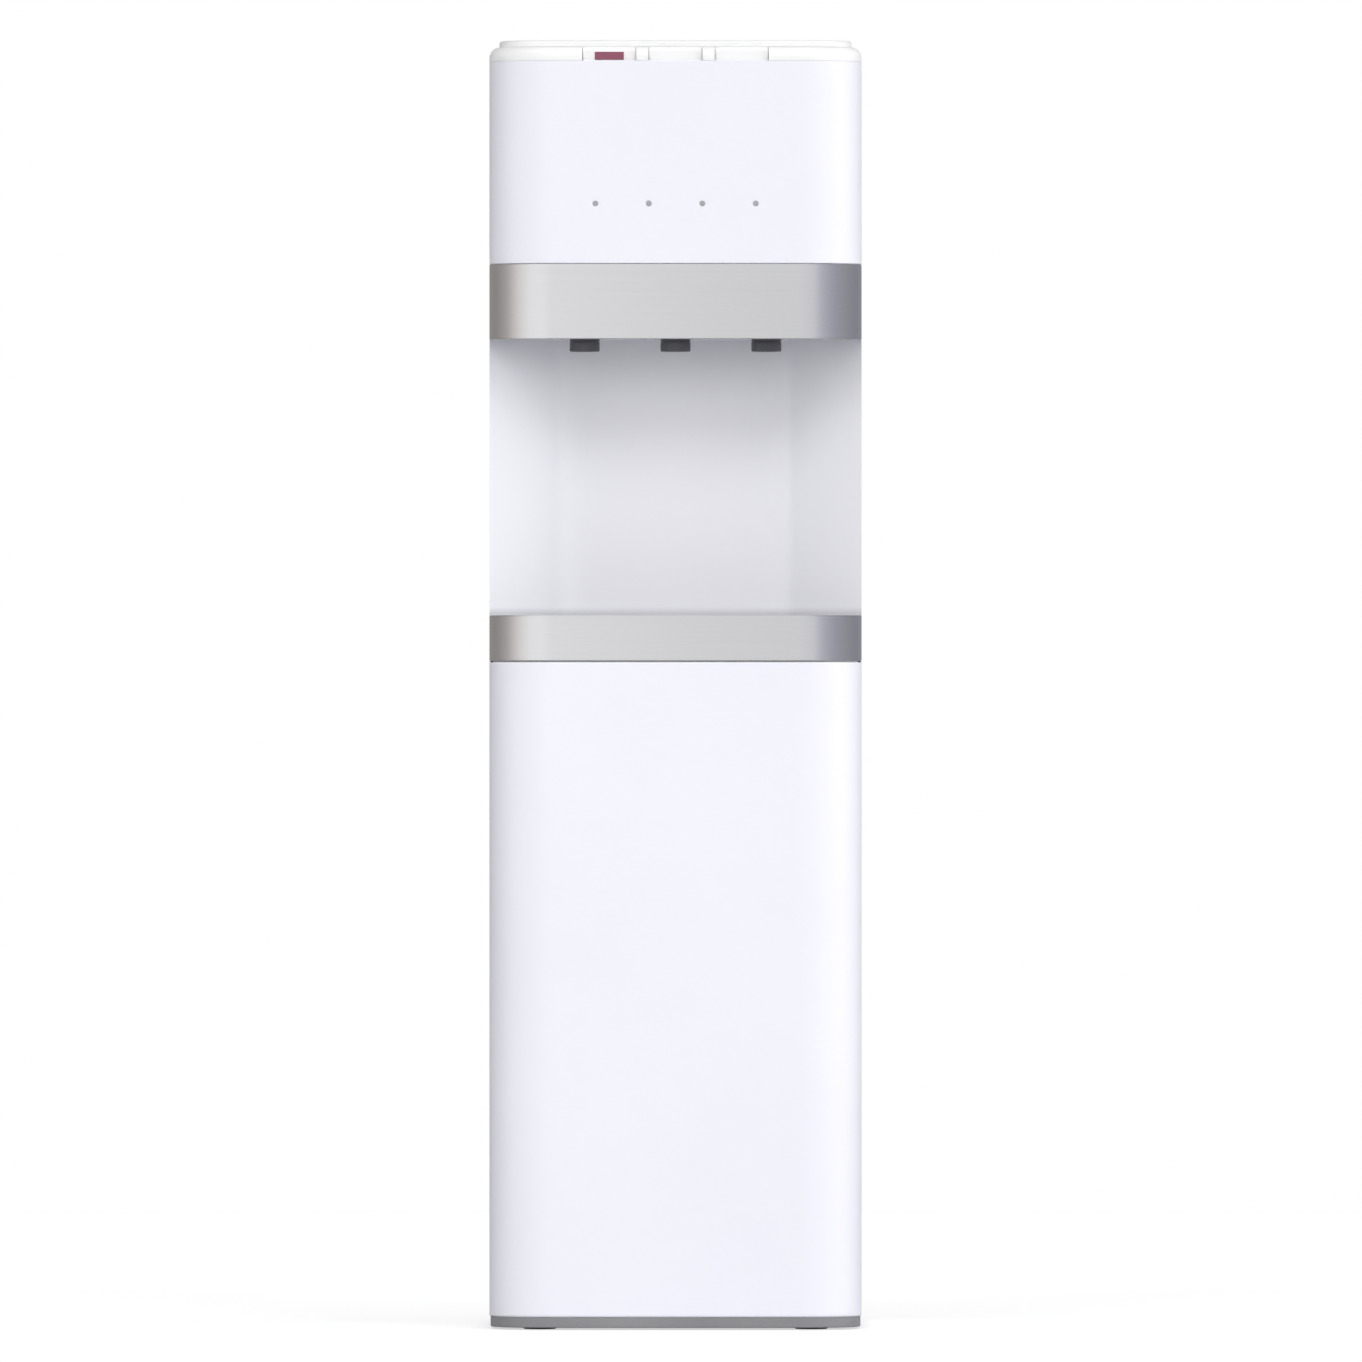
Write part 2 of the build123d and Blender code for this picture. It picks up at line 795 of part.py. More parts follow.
# Piercing probe: a hollow spike with side holes, in a cup for the bottle's neck on the tank
probe_z = cover_top + wall
probe_tip = probe_z + probe_height
spigot_end = tank_top - tank_cover
with BuildPart() as piercing_probe:
    turned(0, well_y, [
        (0, spigot_end), (probe_spigot, spigot_end), (probe_spigot, cover_top),
        (neck_radius + wall, cover_top), (neck_radius + wall, neck_top + wall),
        (neck_radius, neck_top + wall), (neck_radius, probe_z), (probe_foot, probe_z),
        (probe_radius, probe_z + 2 * wall), (probe_radius, probe_tip - probe_radius),
        (probe_bore / 2, probe_tip), (0, probe_tip),
    ])
    hole_z = probe_tip - probe_radius - 2 * probe_bore
    rod((0, well_y, spigot_end), (0, 0, 1), hole_z - spigot_end, probe_bore, Mode.SUBTRACT)
    for along in ((1, 0, 0), (0, 1, 0)):
        start = Vector(0, well_y, hole_z) - Vector(*along) * probe_spigot
        rod(start, along, 2 * probe_spigot, probe_side_bore, Mode.SUBTRACT)

# Keys: hollow caps with the deck's own shoulder, each with a socket for its push bar
bar_top = deck_top - key_wall - seat_gap
lock_z = deck_z + lock_rise


def key_cap(x):
    """A key cap at x, set back behind the front panel so that it can travel down."""
    low_z = deck_z - key_skirt
    half = key_width / 2
    inner = half - key_wall
    with BuildPart() as cap:
        add(deck_block(key_recess, low_z))
        block((x - half, x + half), (front_y, key_back_y), (low_z, deck_top), Mode.INTERSECT)
        ys = (front_y + key_recess + key_wall, key_back_y - key_wall)
        xs = (x - inner, x + inner)
        block(xs, ys, (low_z, deck_top - shoulder_radius + key_recess), Mode.SUBTRACT)
        ys = (front_y + shoulder_radius, key_back_y - key_wall)
        block(xs, ys, (low_z, deck_top - key_wall), Mode.SUBTRACT)
        socket_x = bar_width / 2 + key_wall
        socket_y = bar_thickness / 2 + key_wall
        block(
            (x - socket_x, x + socket_x), (tap_y - socket_y, tap_y + socket_y),
            (low_z, deck_top - key_wall),
        )
        half_x = bar_width / 2 + running_gap
        half_y = bar_thickness / 2 + running_gap
        block(
            (x - half_x, x + half_x), (tap_y - half_y, tap_y + half_y),
            (low_z, deck_top - key_wall), Mode.SUBTRACT,
        )
    return cap


keys = {name: key_cap(place * key_spacing) for name, place in taps.items()}

# Child lock: a red tab that slides along a slot in the front of the hot key
lock_x = -key_spacing
lock_front = front_y + key_recess - lock_proud
lock_foot = lock_width / 2 - lock_travel
with keys["hot"]:
    block(
        (lock_x - lock_foot - seat_gap, lock_x + lock_foot + lock_travel + seat_gap),
        (front_y, front_y + key_recess + key_wall),
        (lock_z + lock_lip, lock_z + lock_height - lock_lip), Mode.SUBTRACT,
    )
with BuildPart() as child_lock:
    block(
        (lock_x - lock_width / 2, lock_x + lock_width / 2),
        (lock_front, front_y + key_recess - running_gap), (lock_z, lock_z + lock_height),
    )
    fillet(child_lock.faces().sort_by(Axis.Y)[0].edges(), lock_proud / 2)
    block(
        (lock_x - lock_foot, lock_x + lock_foot),
        (front_y + key_recess - running_gap, front_y + key_recess + key_wall),
        (lock_z + lock_lip + seat_gap, lock_z + lock_height - lock_lip - seat_gap),
    )


def push_bar(place):
    """A flat bar from its key down to its tap, with a sideways arm where the two differ."""
    key_x = place * key_spacing
    tap_x = place * tap_spacing
    half = bar_width / 2
    low_x = min(key_x, tap_x) - half
    high_x = max(key_x, tap_x) + half
    ys = (tap_y - bar_thickness / 2, tap_y + bar_thickness / 2)
    with BuildPart() as bar:
        block((key_x - half, key_x + half), ys, (arm_z, bar_top))
        block((low_x, high_x), ys, (arm_z, arm_z + bar_arm))
        block((tap_x - half, tap_x + half), ys, (stem_top, arm_z + bar_arm))
    return bar


bars = {name: push_bar(place) for name, place in taps.items()}

# Tap valves: body with a seat between two chambers, an inlet barb and a bore for the stem
socket_top = shelf_z + valve_socket
seat_z = shelf_z + valve_seat_rise
barb_end = valve_radius + valve_barb
barb_along = {"hot": (-1, 0, 0), "room": (0, 1, 0), "cold": (1, 0, 0)}
with BuildPart() as tap_valves:
    for name, place in taps.items():
        x = place * tap_spacing
        turned(x, tap_y, [
            (0, shelf_z), (valve_flange, shelf_z), (valve_flange, shelf_z + valve_flange_height),
            (valve_radius, shelf_z + valve_flange_height), (valve_radius, valve_top),
            (0, valve_top),
        ])
        centre = Vector(x, tap_y, inlet_z)
        along = Vector(*barb_along[name])
        rod(centre, along, barb_end, barb_radius)
        turned(x, tap_y, [
            (0, shelf_z), (nozzle_neck + running_gap, shelf_z),
            (nozzle_neck + running_gap, socket_top), (valve_chamber, socket_top),
            (valve_chamber, seat_z), (valve_seat, seat_z),
            (valve_seat, seat_z + valve_seat_depth), (valve_chamber, seat_z + valve_seat_depth),
            (valve_chamber, valve_top - valve_lid),
            (stem_radius + running_gap, valve_top - valve_lid),
            (stem_radius + running_gap, valve_top), (0, valve_top),
        ], Mode.SUBTRACT)
        rod(centre, along, barb_end, barb_bore, Mode.SUBTRACT)

# Nozzles: dark outlets whose necks plug into the valves through the ceiling
nozzle_z = head_z - nozzle_show
neck_end = socket_top - seat_gap
with BuildPart() as nozzles:
    for place in taps.values():
        turned(place * tap_spacing, tap_y, [
            (nozzle_bore, nozzle_z), (nozzle_radius - nozzle_chamfer, nozzle_z),
            (nozzle_radius - nozzle_chamfer / 2, nozzle_z + nozzle_chamfer),
            (nozzle_radius, ceiling_z),
            (nozzle_neck, ceiling_z), (nozzle_neck, neck_end), (valve_chamber, neck_end),
            (nozzle_bore, nozzle_z + nozzle_throat),
        ])

# Valve stems: rubber plug under the seat, rod through the valve and a head under the bar
head_low = stem_top - stem_head
head_radius = spring_radius + stem_head_rim
plug_z = seat_z - fit
plug_radius = valve_chamber - plug_clear


def valve_stem(x):
    """The stem of the tap at x."""
    with BuildPart() as stem:
        turned(x, tap_y, [
            (0, plug_z - plug_height), (plug_radius, plug_z - plug_height), (plug_radius, plug_z),
            (stem_radius, plug_z), (stem_radius, head_low), (head_radius, head_low),
            (head_radius, stem_top), (0, stem_top),
        ])
    return stem


stems = {name: valve_stem(place * tap_spacing) for name, place in taps.items()}

# Return springs round the stems, between each valve and the head of its stem
spring_low = valve_top + spring_wire + seat_gap
spring_pitch = 2 * (head_low - valve_top - 2 * (spring_wire + seat_gap)) / spring_half_turns


def key_spring(x):
    """The return spring of the tap at x."""
    with BuildPart() as spring:
        coil(x, tap_y, spring_low, 1, spring_radius, spring_pitch, spring_half_turns, spring_wire)
    return spring


springs = {name: key_spring(place * tap_spacing) for name, place in taps.items()}
print("spring: gap between turns", round(spring_pitch - 2 * spring_wire, 2), "mm")

# Tank shelf: bent steel across the cabinet over the alcove, under the cold tank
hose_x = inside_x - hose_from_side
shelf_half = inside_x - seat_gap
shelf_ys = (front_y + shelf_front, back_y - shelf_back)
with BuildPart() as tank_shelf:
    block((-shelf_half, shelf_half), shelf_ys, (shelf_z, shelf_z + shelf_sheet))
    for side in (-1, 1):
        xs = sorted((side * (shelf_half - shelf_sheet), side * shelf_half))
        rear_ys = (alcove_y + wall, shelf_ys[1])
        block(xs, rear_ys, (shelf_z - shelf_flange, shelf_z + shelf_sheet))
    rod((-hose_x, hot_y, shelf_z), (0, 0, 1), shelf_sheet, hose_radius + hose_clear, Mode.SUBTRACT)

# Cold tank: steel cup with three barbs, one low at the side, one low at the back, one high
low_z = tank_z + low_port
high_z = tank_z + high_port
feed_reach = hypot(tank_radius, hot_x) - tank_radius
ports = [
    ((0, well_y, low_z), (1, 0, 0), tank_radius + barb_length),
    ((0, well_y, high_z), (0, -1, 0), tank_radius + barb_length),
    ((hot_x, well_y, low_z), (0, 1, 0), foam_inside - feed_reach / 2),
]
with BuildPart() as cold_tank:
    rod((0, well_y, tank_z), (0, 0, 1), tank_height, tank_radius)
    for start, along, length in ports:
        rod(start, along, length, barb_radius)
    inside = tank_radius - tank_wall
    inside_height = tank_height - tank_wall
    rod((0, well_y, tank_z + tank_wall), (0, 0, 1), inside_height, inside, Mode.SUBTRACT)
    for start, along, length in ports:
        rod(start, along, length, barb_bore, Mode.SUBTRACT)

# Cold tank cover, with the hole for the probe's spigot and a ring that centres it
with BuildPart() as cold_tank_cover:
    rod((0, well_y, tank_top), (0, 0, 1), tank_cover, foam_radius)
    turned(0, well_y, [
        (inside - fit - wall, tank_top - wall), (inside - fit, tank_top - wall),
        (inside - fit, tank_top), (inside - fit - wall, tank_top),
    ])
    rod((0, well_y, tank_top), (0, 0, 1), tank_cover, probe_spigot + seat_gap, Mode.SUBTRACT)

# Baffle plate: keeps the warm water above the cold, on three legs, with a ring of holes
baffle_z = tank_z + baffle_lift
with BuildPart() as baffle_plate:
    rod((0, well_y, baffle_z), (0, 0, 1), wall, inside - baffle_clear)
    with Locations((0, well_y, baffle_z)):
        with PolarLocations(inside - baffle_leg_inset, baffle_legs):
            leg = baffle_z - tank_z - tank_wall
            Cylinder(baffle_leg, leg, align=(Align.CENTER, Align.CENTER, Align.MAX))
        with PolarLocations(baffle_hole_ring, baffle_holes):
            Cylinder(baffle_hole, 3 * wall, mode=Mode.SUBTRACT)

# Evaporator coil wound round the cold tank
coil_z = tank_z + coil_lift
coil_end_z = coil_z + coil_half_turns * coil_pitch / 2
with BuildPart() as evaporator_coil:
    coil(0, well_y, coil_z, -1, coil_radius, coil_pitch, coil_half_turns, pipe_radius)
print("evaporator: gap between turns", round(coil_pitch - 2 * pipe_radius, 2), "mm")

# Foam jacket of the cold tank, with channels for the hoses and the pipes
channel = hose_radius + fit
with BuildPart() as cold_tank_foam:
    rod((0, well_y, shelf_z + shelf_sheet), (0, 0, 1), tank_top - shelf_z - shelf_sheet, foam_radius)
    rod((0, well_y, tank_z), (0, 0, 1), tank_height, foam_inside, Mode.SUBTRACT)
    for start, along, length in ports:
        rod(start, along, 2 * tank_radius, channel, Mode.SUBTRACT)
    for side, z in ((-1, coil_z), (1, coil_end_z)):
        start = (side * coil_radius, well_y, z)
        rod(start, (0, 1, 0), foam_radius, pipe_radius + fit, Mode.SUBTRACT)

# Hot tank: closed steel can with barbs for its feed, its outlet and its drain
bracket_z = hot_z
jacket_z = bracket_z + shelf_sheet
can_z = jacket_z + hot_jacket
feed_z = can_z + low_port + tank_wall
outlet_z = can_z + hot_height - low_port
hot_ports = [
    ((hot_x, hot_y, outlet_z), (-1, 0, 0)),
    ((hot_x, hot_y, feed_z), (0, 1, 0)),
    ((hot_x, hot_y, feed_z), (1, 0, 0)),
]
hot_barb = hot_radius + hot_barb_length
heater_xs = (hot_x - heater_span / 2, hot_x + heater_span / 2)
with BuildPart() as hot_tank:
    rod((hot_x, hot_y, can_z), (0, 0, 1), hot_height, hot_radius)
    for start, along in hot_ports:
        rod(start, along, hot_barb, barb_radius)
    can_inside = hot_radius - tank_wall
    can_height = hot_height - 2 * tank_wall
    rod((hot_x, hot_y, can_z + tank_wall), (0, 0, 1), can_height, can_inside, Mode.SUBTRACT)
    for start, along in hot_ports:
        rod(start, along, hot_barb, barb_bore, Mode.SUBTRACT)
    for x in heater_xs:
        rod((x, hot_y, can_z), (0, 0, 1), wall, heater_radius + running_gap, Mode.SUBTRACT)

# Heater element: a bent tube that stands in the hot tank
heater_top = can_z + heater_rise
with BuildPart() as heater_element:
    pipe(
        [
            (heater_xs[0], hot_y, can_z), (heater_xs[0], hot_y, heater_top),
            (heater_xs[1], hot_y, heater_top), (heater_xs[1], hot_y, can_z),
        ],
        [heater_bend, heater_bend], heater_radius,
    )

# Insulating jacket of the hot tank
jacket_height = hot_height + 2 * hot_jacket
jacket_radius = hot_radius + hot_jacket
with BuildPart() as hot_tank_jacket:
    rod((hot_x, hot_y, jacket_z), (0, 0, 1), jacket_height, jacket_radius)
    rod((hot_x, hot_y, can_z), (0, 0, 1), hot_height, hot_radius + seat_gap, Mode.SUBTRACT)
    for start, along in hot_ports:
        rod(start, along, jacket_radius + wall, channel, Mode.SUBTRACT)

# Hot tank bracket: bent steel fixed to the rear panel, with the platform under the jacket
with BuildPart() as hot_tank_bracket:
    xs = (hot_x - bracket_width / 2, hot_x + bracket_width / 2)
    block(xs, (hot_y - hot_radius, inside_back), (bracket_z, bracket_z + shelf_sheet))
    for x in xs:
        edge = sorted((x, x + shelf_sheet if x < hot_x else x - shelf_sheet))
        block(edge, (hot_y - hot_radius, inside_back), (bracket_z - shelf_flange, bracket_z))
    plate_z = (bracket_z - bracket_rise, bracket_z)
    block(xs, (inside_back - shelf_sheet, inside_back), plate_z)

# Water hoses: silicone tubes pushed over the barbs
valve_grip = barb_end - hose_grip
rise_y = tap_y + barb_end + hose_bend
hot_side = hot_x - hot_barb + hose_grip
spout_back = inside_back - spout_inside
rise_x = hose_x - hose_grip
with BuildPart() as water_hoses:
    pipe(
        [
            (tank_radius + barb_length - hose_grip, well_y, low_z), (rise_x, well_y, low_z),
            (rise_x, tap_y, inlet_z), (tap_spacing + valve_grip, tap_y, inlet_z),
        ],
        [hose_bend, hose_bend], hose_radius, hose_bore,
    )
    pipe(
        [
            (0, tap_y + valve_grip, inlet_z), (0, rise_y, inlet_z),
            (0, rise_y, high_z), (0, well_y - tank_radius - barb_length + hose_grip, high_z),
        ],
        [hose_bend, hose_bend], hose_radius, hose_bore,
    )
    pipe(
        [
            (hot_side, hot_y, outlet_z), (-hose_x, hot_y, outlet_z),
            (-hose_x, hot_y, inlet_z), (-hose_x, tap_y, inlet_z),
            (-tap_spacing - valve_grip, tap_y, inlet_z),
        ],
        [hose_bend, hose_bend, hose_bend], hose_radius, hose_bore,
    )
    pipe(
        [
            (hot_x, ports[2][2] + well_y - hose_grip, low_z), (hot_x, feed_y, low_z),
            (hot_x, feed_y, feed_z), (hot_x, hot_y + hot_barb - hose_grip, feed_z),
        ],
        [hose_bend, hose_bend], hose_radius, hose_bore,
    )
    pipe(
        [
            (hot_x + hot_barb - hose_grip, hot_y, feed_z), (drain_x, hot_y, feed_z),
            (drain_x, hot_y, port_height), (drain_x, spout_back + hose_grip, port_height),
        ],
        [drain_bend, drain_bend], hose_radius, hose_bore,
    )

# Compressor: welded shell on a base plate, with two pipe stubs on top
mount_top = panel_z + mount_height
shell_z = mount_top + plate_thickness
shell_top = shell_z + compressor_height
stubs = [(compressor_x + side * stub_spacing / 2, compressor_y + stub_back) for side in (-1, 1)]
mount_x = plate_width / 2 - mount_radius
mount_y = plate_depth / 2 - mount_radius
with BuildPart() as compressor:
    body = compressor_radius
    seam_z = shell_z + compressor_seam_rise
    seam_top = seam_z + compressor_seam_height
    turned(compressor_x, compressor_y, [
        (0, shell_z), (body - compressor_foot, shell_z),
        (body - compressor_foot_rim, shell_z + compressor_foot_rise),
        (body, shell_z + compressor_foot),
        (body, seam_z), (body + compressor_seam, seam_z), (body + compressor_seam, seam_top),
        (body, seam_top), (body, shell_top - compressor_dome),
        (body - compressor_dome_rim, shell_top - compressor_dome_drop),
        (body - compressor_crown, shell_top - compressor_seam), (0, shell_top),
    ])
    with BuildSketch(Plane.XY.offset(mount_top)):
        with Locations((compressor_x, compressor_y)):
            RectangleRounded(plate_width, plate_depth, mount_radius)
            with GridLocations(2 * mount_x, 2 * mount_y, 2, 2):
                Circle(mount_pin, mode=Mode.SUBTRACT)
    extrude(amount=plate_thickness)
    for x, y in stubs:
        rod((x, y, shell_z), (0, 0, 1), stub_height - shell_z, pipe_radius)

# Rubber mounts between the compressor's plate and the base pan
with BuildPart() as compressor_mounts:
    with Locations((compressor_x, compressor_y, panel_z)):
        with GridLocations(2 * mount_x, 2 * mount_y, 2, 2):
            Cylinder(
                mount_radius - seat_gap, mount_height,
                align=(Align.CENTER, Align.CENTER, Align.MIN),
            )
            Cylinder(
                mount_pin - seat_gap, mount_height + plate_thickness + mount_pin_rise,
                align=(Align.CENTER, Align.CENTER, Align.MIN),
            )

# Condenser tube: one pipe bent to and fro across the back, its two ends inside the cabinet
outer_y = back_y + condenser_room
condenser_y = outer_y - 2 * condenser_wire - condenser_pipe + weld_bite
port_y = inside_back - port_inset
drier_y = inside_back - drier_inset
drier_top = condenser_bottom - drier_drop
runs = [(condenser_port, port_y, condenser_top), (condenser_port, condenser_y, condenser_top)]
for row in range(condenser_rows - 1):
    side = -1 if row % 2 == 0 else 1
    z = condenser_top - row * condenser_pitch
    runs.append((side * condenser_half, condenser_y, z))
    runs.append((side * condenser_half, condenser_y, z - condenser_pitch))
runs.append((-condenser_port, condenser_y, condenser_bottom))
runs.append((-condenser_port, drier_y, condenser_bottom))
runs.append((-condenser_port, drier_y, drier_top))
turn_bend = condenser_pitch / 2 - seat_gap
bends = [port_bend] + [turn_bend] * (2 * condenser_rows - 2) + [port_bend, port_bend]
with BuildPart() as condenser_tube:
    pipe(runs, bends, condenser_pipe)

# Condenser wires, welded to both faces of the tube
wire_low = condenser_bottom - wire_overhang
wire_length = condenser_top - wire_low + wire_overhang
wire_offset = condenser_pipe + condenser_wire - weld_bite
with BuildPart() as condenser_wires:
    with BuildSketch(Plane.XY.offset(wire_low)):
        with Locations((0, condenser_y)):
            with GridLocations(wire_spacing, 2 * wire_offset, wires_each_side, 2):
                Circle(condenser_wire)
    extrude(amount=wire_length)

# Condenser brackets: blocks on the rear panel, each with a groove round a run of the tube
bracket_rows = (1, condenser_rows - 2)
with BuildPart() as condenser_brackets:
    for row in bracket_rows:
        z = condenser_top - row * condenser_pitch
        for side in (-1, 1):
            x = side * bracket_at
            half = bracket_block / 2
            block((x - half, x + half), (back_y, condenser_y), (z - bracket_block, z + bracket_block))
            start = (x - half, condenser_y, z)
            rod(start, (1, 0, 0), bracket_block, condenser_pipe + running_gap, Mode.SUBTRACT)

# Places along the refrigerant circuit
drier_low = drier_top - drier_length
# Refrigerant lines: suction, discharge, and the filter drier with the thin capillary brazed to it
suction_z = stub_height + suction_rise
discharge_z = stub_height + discharge_rise
discharge_y = line_y - pipe_radius - condenser_pipe
loop_z = drier_low - capillary_loop
with BuildPart() as refrigerant_lines:
    turned(-condenser_port, drier_y, [
        (0, drier_low), (capillary_radius * 2, drier_low), (drier_radius, drier_low + drier_cone),
        (drier_radius, drier_top - drier_cone), (condenser_pipe + fit, drier_top), (0, drier_top),
    ])
    pipe(
        [
            (*stubs[1], stub_height), (*stubs[1], suction_z), (coil_radius, line_y, suction_z),
            (coil_radius, line_y, coil_end_z), (coil_radius, well_y, coil_end_z),
        ],
        [hose_bend, hose_bend, hose_bend], pipe_radius,
    )
    pipe(
        [
            (*stubs[0], stub_height), (*stubs[0], discharge_z),
            (condenser_port, discharge_y, discharge_z),
            (condenser_port, discharge_y, condenser_top), (condenser_port, port_y, condenser_top),
        ],
        [hose_bend, hose_bend, port_bend], condenser_pipe,
    )
    pipe(
        [
            (-condenser_port, drier_y, drier_low), (-condenser_port, drier_y, loop_z),
            (-hose_x, line_y, loop_z), (-hose_x, line_y, coil_z),
            (-coil_radius, line_y, coil_z), (-coil_radius, well_y, coil_z),
        ],
        [hose_bend, hose_bend, hose_bend, hose_bend], capillary_radius,
    )

# Control box: the electrical housing on the inside of the rear panel, with its cover lip
with BuildPart() as control_box:
    block(
        (-box_width / 2, box_width / 2), (inside_back - box_depth, inside_back),
        (box_bottom, box_bottom + box_height),
    )
    fillet(control_box.edges().filter_by(Axis.Y), box_corner)
    cavity = box_width / 2 - wall
    block(
        (-cavity, cavity), (inside_back - box_depth + wall, inside_back - wall),
        (box_bottom + wall, box_bottom + box_height - wall), Mode.SUBTRACT,
    )
    gap_x = box_width / 2 - box_lip
    block(
        (-gap_x, gap_x), (inside_back - box_depth, inside_back - box_depth + wall),
        (box_bottom + box_lip, box_bottom + box_height - box_lip), Mode.SUBTRACT,
    )

# Switch housings: bezels clipped in the rear panel, with pin bores for the rockers
bezel_y = back_y + switch_bezel_height
pin_y = back_y - rocker_pin_depth
cavity_x = switch_half_width - switch_wall
cavity_z = rocker_half + rocker_clear
cavity_y = back_y - switch_cavity
pin_reach = cavity_x + rocker_pin_depth
with BuildPart() as switch_housings:
    for x in switch_xs:
        block(
            (x - switch_half_width, x + switch_half_width), (back_y - switch_depth, back_y),
            (switch_z - switch_half_height, switch_z + switch_half_height),
        )
        rim_x = switch_half_width + switch_bezel
        rim_z = switch_half_height + switch_bezel
        block((x - rim_x, x + rim_x), (back_y, bezel_y), (switch_z - rim_z, switch_z + rim_z))
        block(
            (x - cavity_x, x + cavity_x), (cavity_y, bezel_y),
            (switch_z - cavity_z, switch_z + cavity_z), Mode.SUBTRACT,
        )
        start = (x - pin_reach, pin_y, switch_z)
        rod(start, (1, 0, 0), 2 * pin_reach, rocker_pin + running_gap, Mode.SUBTRACT)


def rocker(x):
    """A rocker at x, tilted to its off side, with its pin."""
    rise = rocker_face + rocker_half * tan(radians(rocker_tilt))
    edge = rocker_half - rocker_edge
    half_x = cavity_x - fit
    pin_half = pin_reach - fit
    with BuildPart() as body:
        with BuildSketch(Plane.YZ.offset(x - half_x)) as profile:
            with BuildLine():
                Polyline(
                    (rocker_face, 0), (rise, rocker_half), (-rocker_pin, edge),
                    (-rocker_foot, rocker_foot), (-rocker_foot, -rocker_foot),
                    (-rocker_pin, -edge), (rise, -rocker_half), close=True,
                )
            make_face()
            add(profile.sketch.rotate(Axis.Z, rocker_tilt), mode=Mode.REPLACE)
        tilted = profile.sketch.moved(Location((0, pin_y, switch_z)))
        extrude(tilted, amount=2 * half_x)
        rod((x - pin_half, pin_y, switch_z), (1, 0, 0), 2 * pin_half, rocker_pin)
    return body


hot_switch = rocker(switch_xs[0])
cold_switch = rocker(switch_xs[1])

# Drain spout through the rear panel, with a barb inside, and its cap
flange_y = back_y + spout_flange_height
spout_end = flange_y + spout_length
with BuildPart() as drain_spout:
    shoulder_y = inside_back - spout_shoulder
    flange_radius = spout_radius + spout_flange
    turned_back(drain_x, port_height, [
        (barb_bore, spout_back), (barb_radius, spout_back), (barb_radius, shoulder_y),
        (spout_radius, shoulder_y), (spout_radius, back_y), (flange_radius, back_y),
        (flange_radius, flange_y), (spout_radius, flange_y), (spout_radius, spout_end),
        (barb_bore, spout_end),
    ])
cap_inside = spout_radius + fit
cap_radius = cap_inside + cap_wall
cap_start = flange_y + fit
cap_end = spout_end + fit + wall
with BuildPart() as drain_cap:
    turned_back(drain_x, port_height, [
        (cap_inside, cap_start), (cap_radius, cap_start), (cap_radius, cap_end - cap_edge),
        (cap_radius - cap_edge, cap_end), (0, cap_end), (0, spout_end + fit),
        (cap_inside, spout_end + fit),
    ])
    middle = Location((drain_x, (cap_start + cap_end) / 2, port_height), (90, 0, 0))
    with Locations(middle):
        with PolarLocations(cap_radius + cap_groove / 2, cap_grooves):
            Cylinder(cap_groove, cap_end - cap_start - 2 * cap_grip_end, mode=Mode.SUBTRACT)

# Cable gland in the rear panel, empty
with BuildPart() as cable_gland:
    nut_y = inside_back - gland_nut
    collar_y = back_y + gland_flange
    gland_end = back_y + gland_length
    turned_back(gland_x, port_height, [
        (barb_radius, nut_y), (gland_radius, nut_y), (gland_radius, inside_back),
        (spout_radius, inside_back), (spout_radius, back_y), (gland_radius + wall, back_y),
        (gland_radius + wall, collar_y), (gland_radius, collar_y),
        (gland_radius - wall, gland_end), (barb_radius, gland_end),
    ])

pieces = {
    "base_pan": base_pan,
    "feet": feet,
    "left_side_panel": left_side_panel,
    "right_side_panel": right_side_panel,
    "rear_panel": rear_panel,
    "compressor_cover": compressor_cover,
    "rear_screws": rear_screws,
    "lower_front_panel": lower_front_panel,
    "tray_shelf": tray_shelf,
    "drip_tray": drip_tray,
    "tray_band": tray_band,
    "drip_grille": drip_grille,
    "alcove_liner": alcove_liner,
    "head_band": head_band,
    "upper_front_panel": upper_front_panel,
    "indicator_lenses": indicator_lenses,
    "indicator_board": indicator_board,
    "top_deck": top_deck,
    "lid": lid,
    "bottle_collar": bottle_collar,
    "piercing_probe": piercing_probe,
    "child_lock": child_lock,
    "tap_valves": tap_valves,
    "nozzles": nozzles,
    "tank_shelf": tank_shelf,
    "cold_tank": cold_tank,
    "cold_tank_cover": cold_tank_cover,
    "baffle_plate": baffle_plate,
    "evaporator_coil": evaporator_coil,
    "cold_tank_foam": cold_tank_foam,
    "hot_tank": hot_tank,
    "heater_element": heater_element,
    "hot_tank_jacket": hot_tank_jacket,
    "hot_tank_bracket": hot_tank_bracket,
    "water_hoses": water_hoses,
    "compressor": compressor,
    "compressor_mounts": compressor_mounts,
    "condenser_tube": condenser_tube,
    "condenser_wires": condenser_wires,
    "condenser_brackets": condenser_brackets,
    "refrigerant_lines": refrigerant_lines,
    "control_box": control_box,
    "switch_housings": switch_housings,
    "hot_switch": hot_switch,
    "cold_switch": cold_switch,
    "drain_spout": drain_spout,
    "drain_cap": drain_cap,
    "cable_gland": cable_gland,
}
for name in taps:
    pieces[f"{name}_key"] = keys[name]
    pieces[f"{name}_push_bar"] = bars[name]
    pieces[f"{name}_valve_stem"] = stems[name]
    pieces[f"{name}_key_spring"] = springs[name]

os.makedirs("parts", exist_ok=True)
for name, piece in pieces.items():
    piece.part.label = name
    export_step(piece.part, f"parts/{name}.step")
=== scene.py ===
"""Looks of the floor-standing water dispenser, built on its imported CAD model."""
import logging
import math
from dataclasses import dataclass, field
from enum import Enum

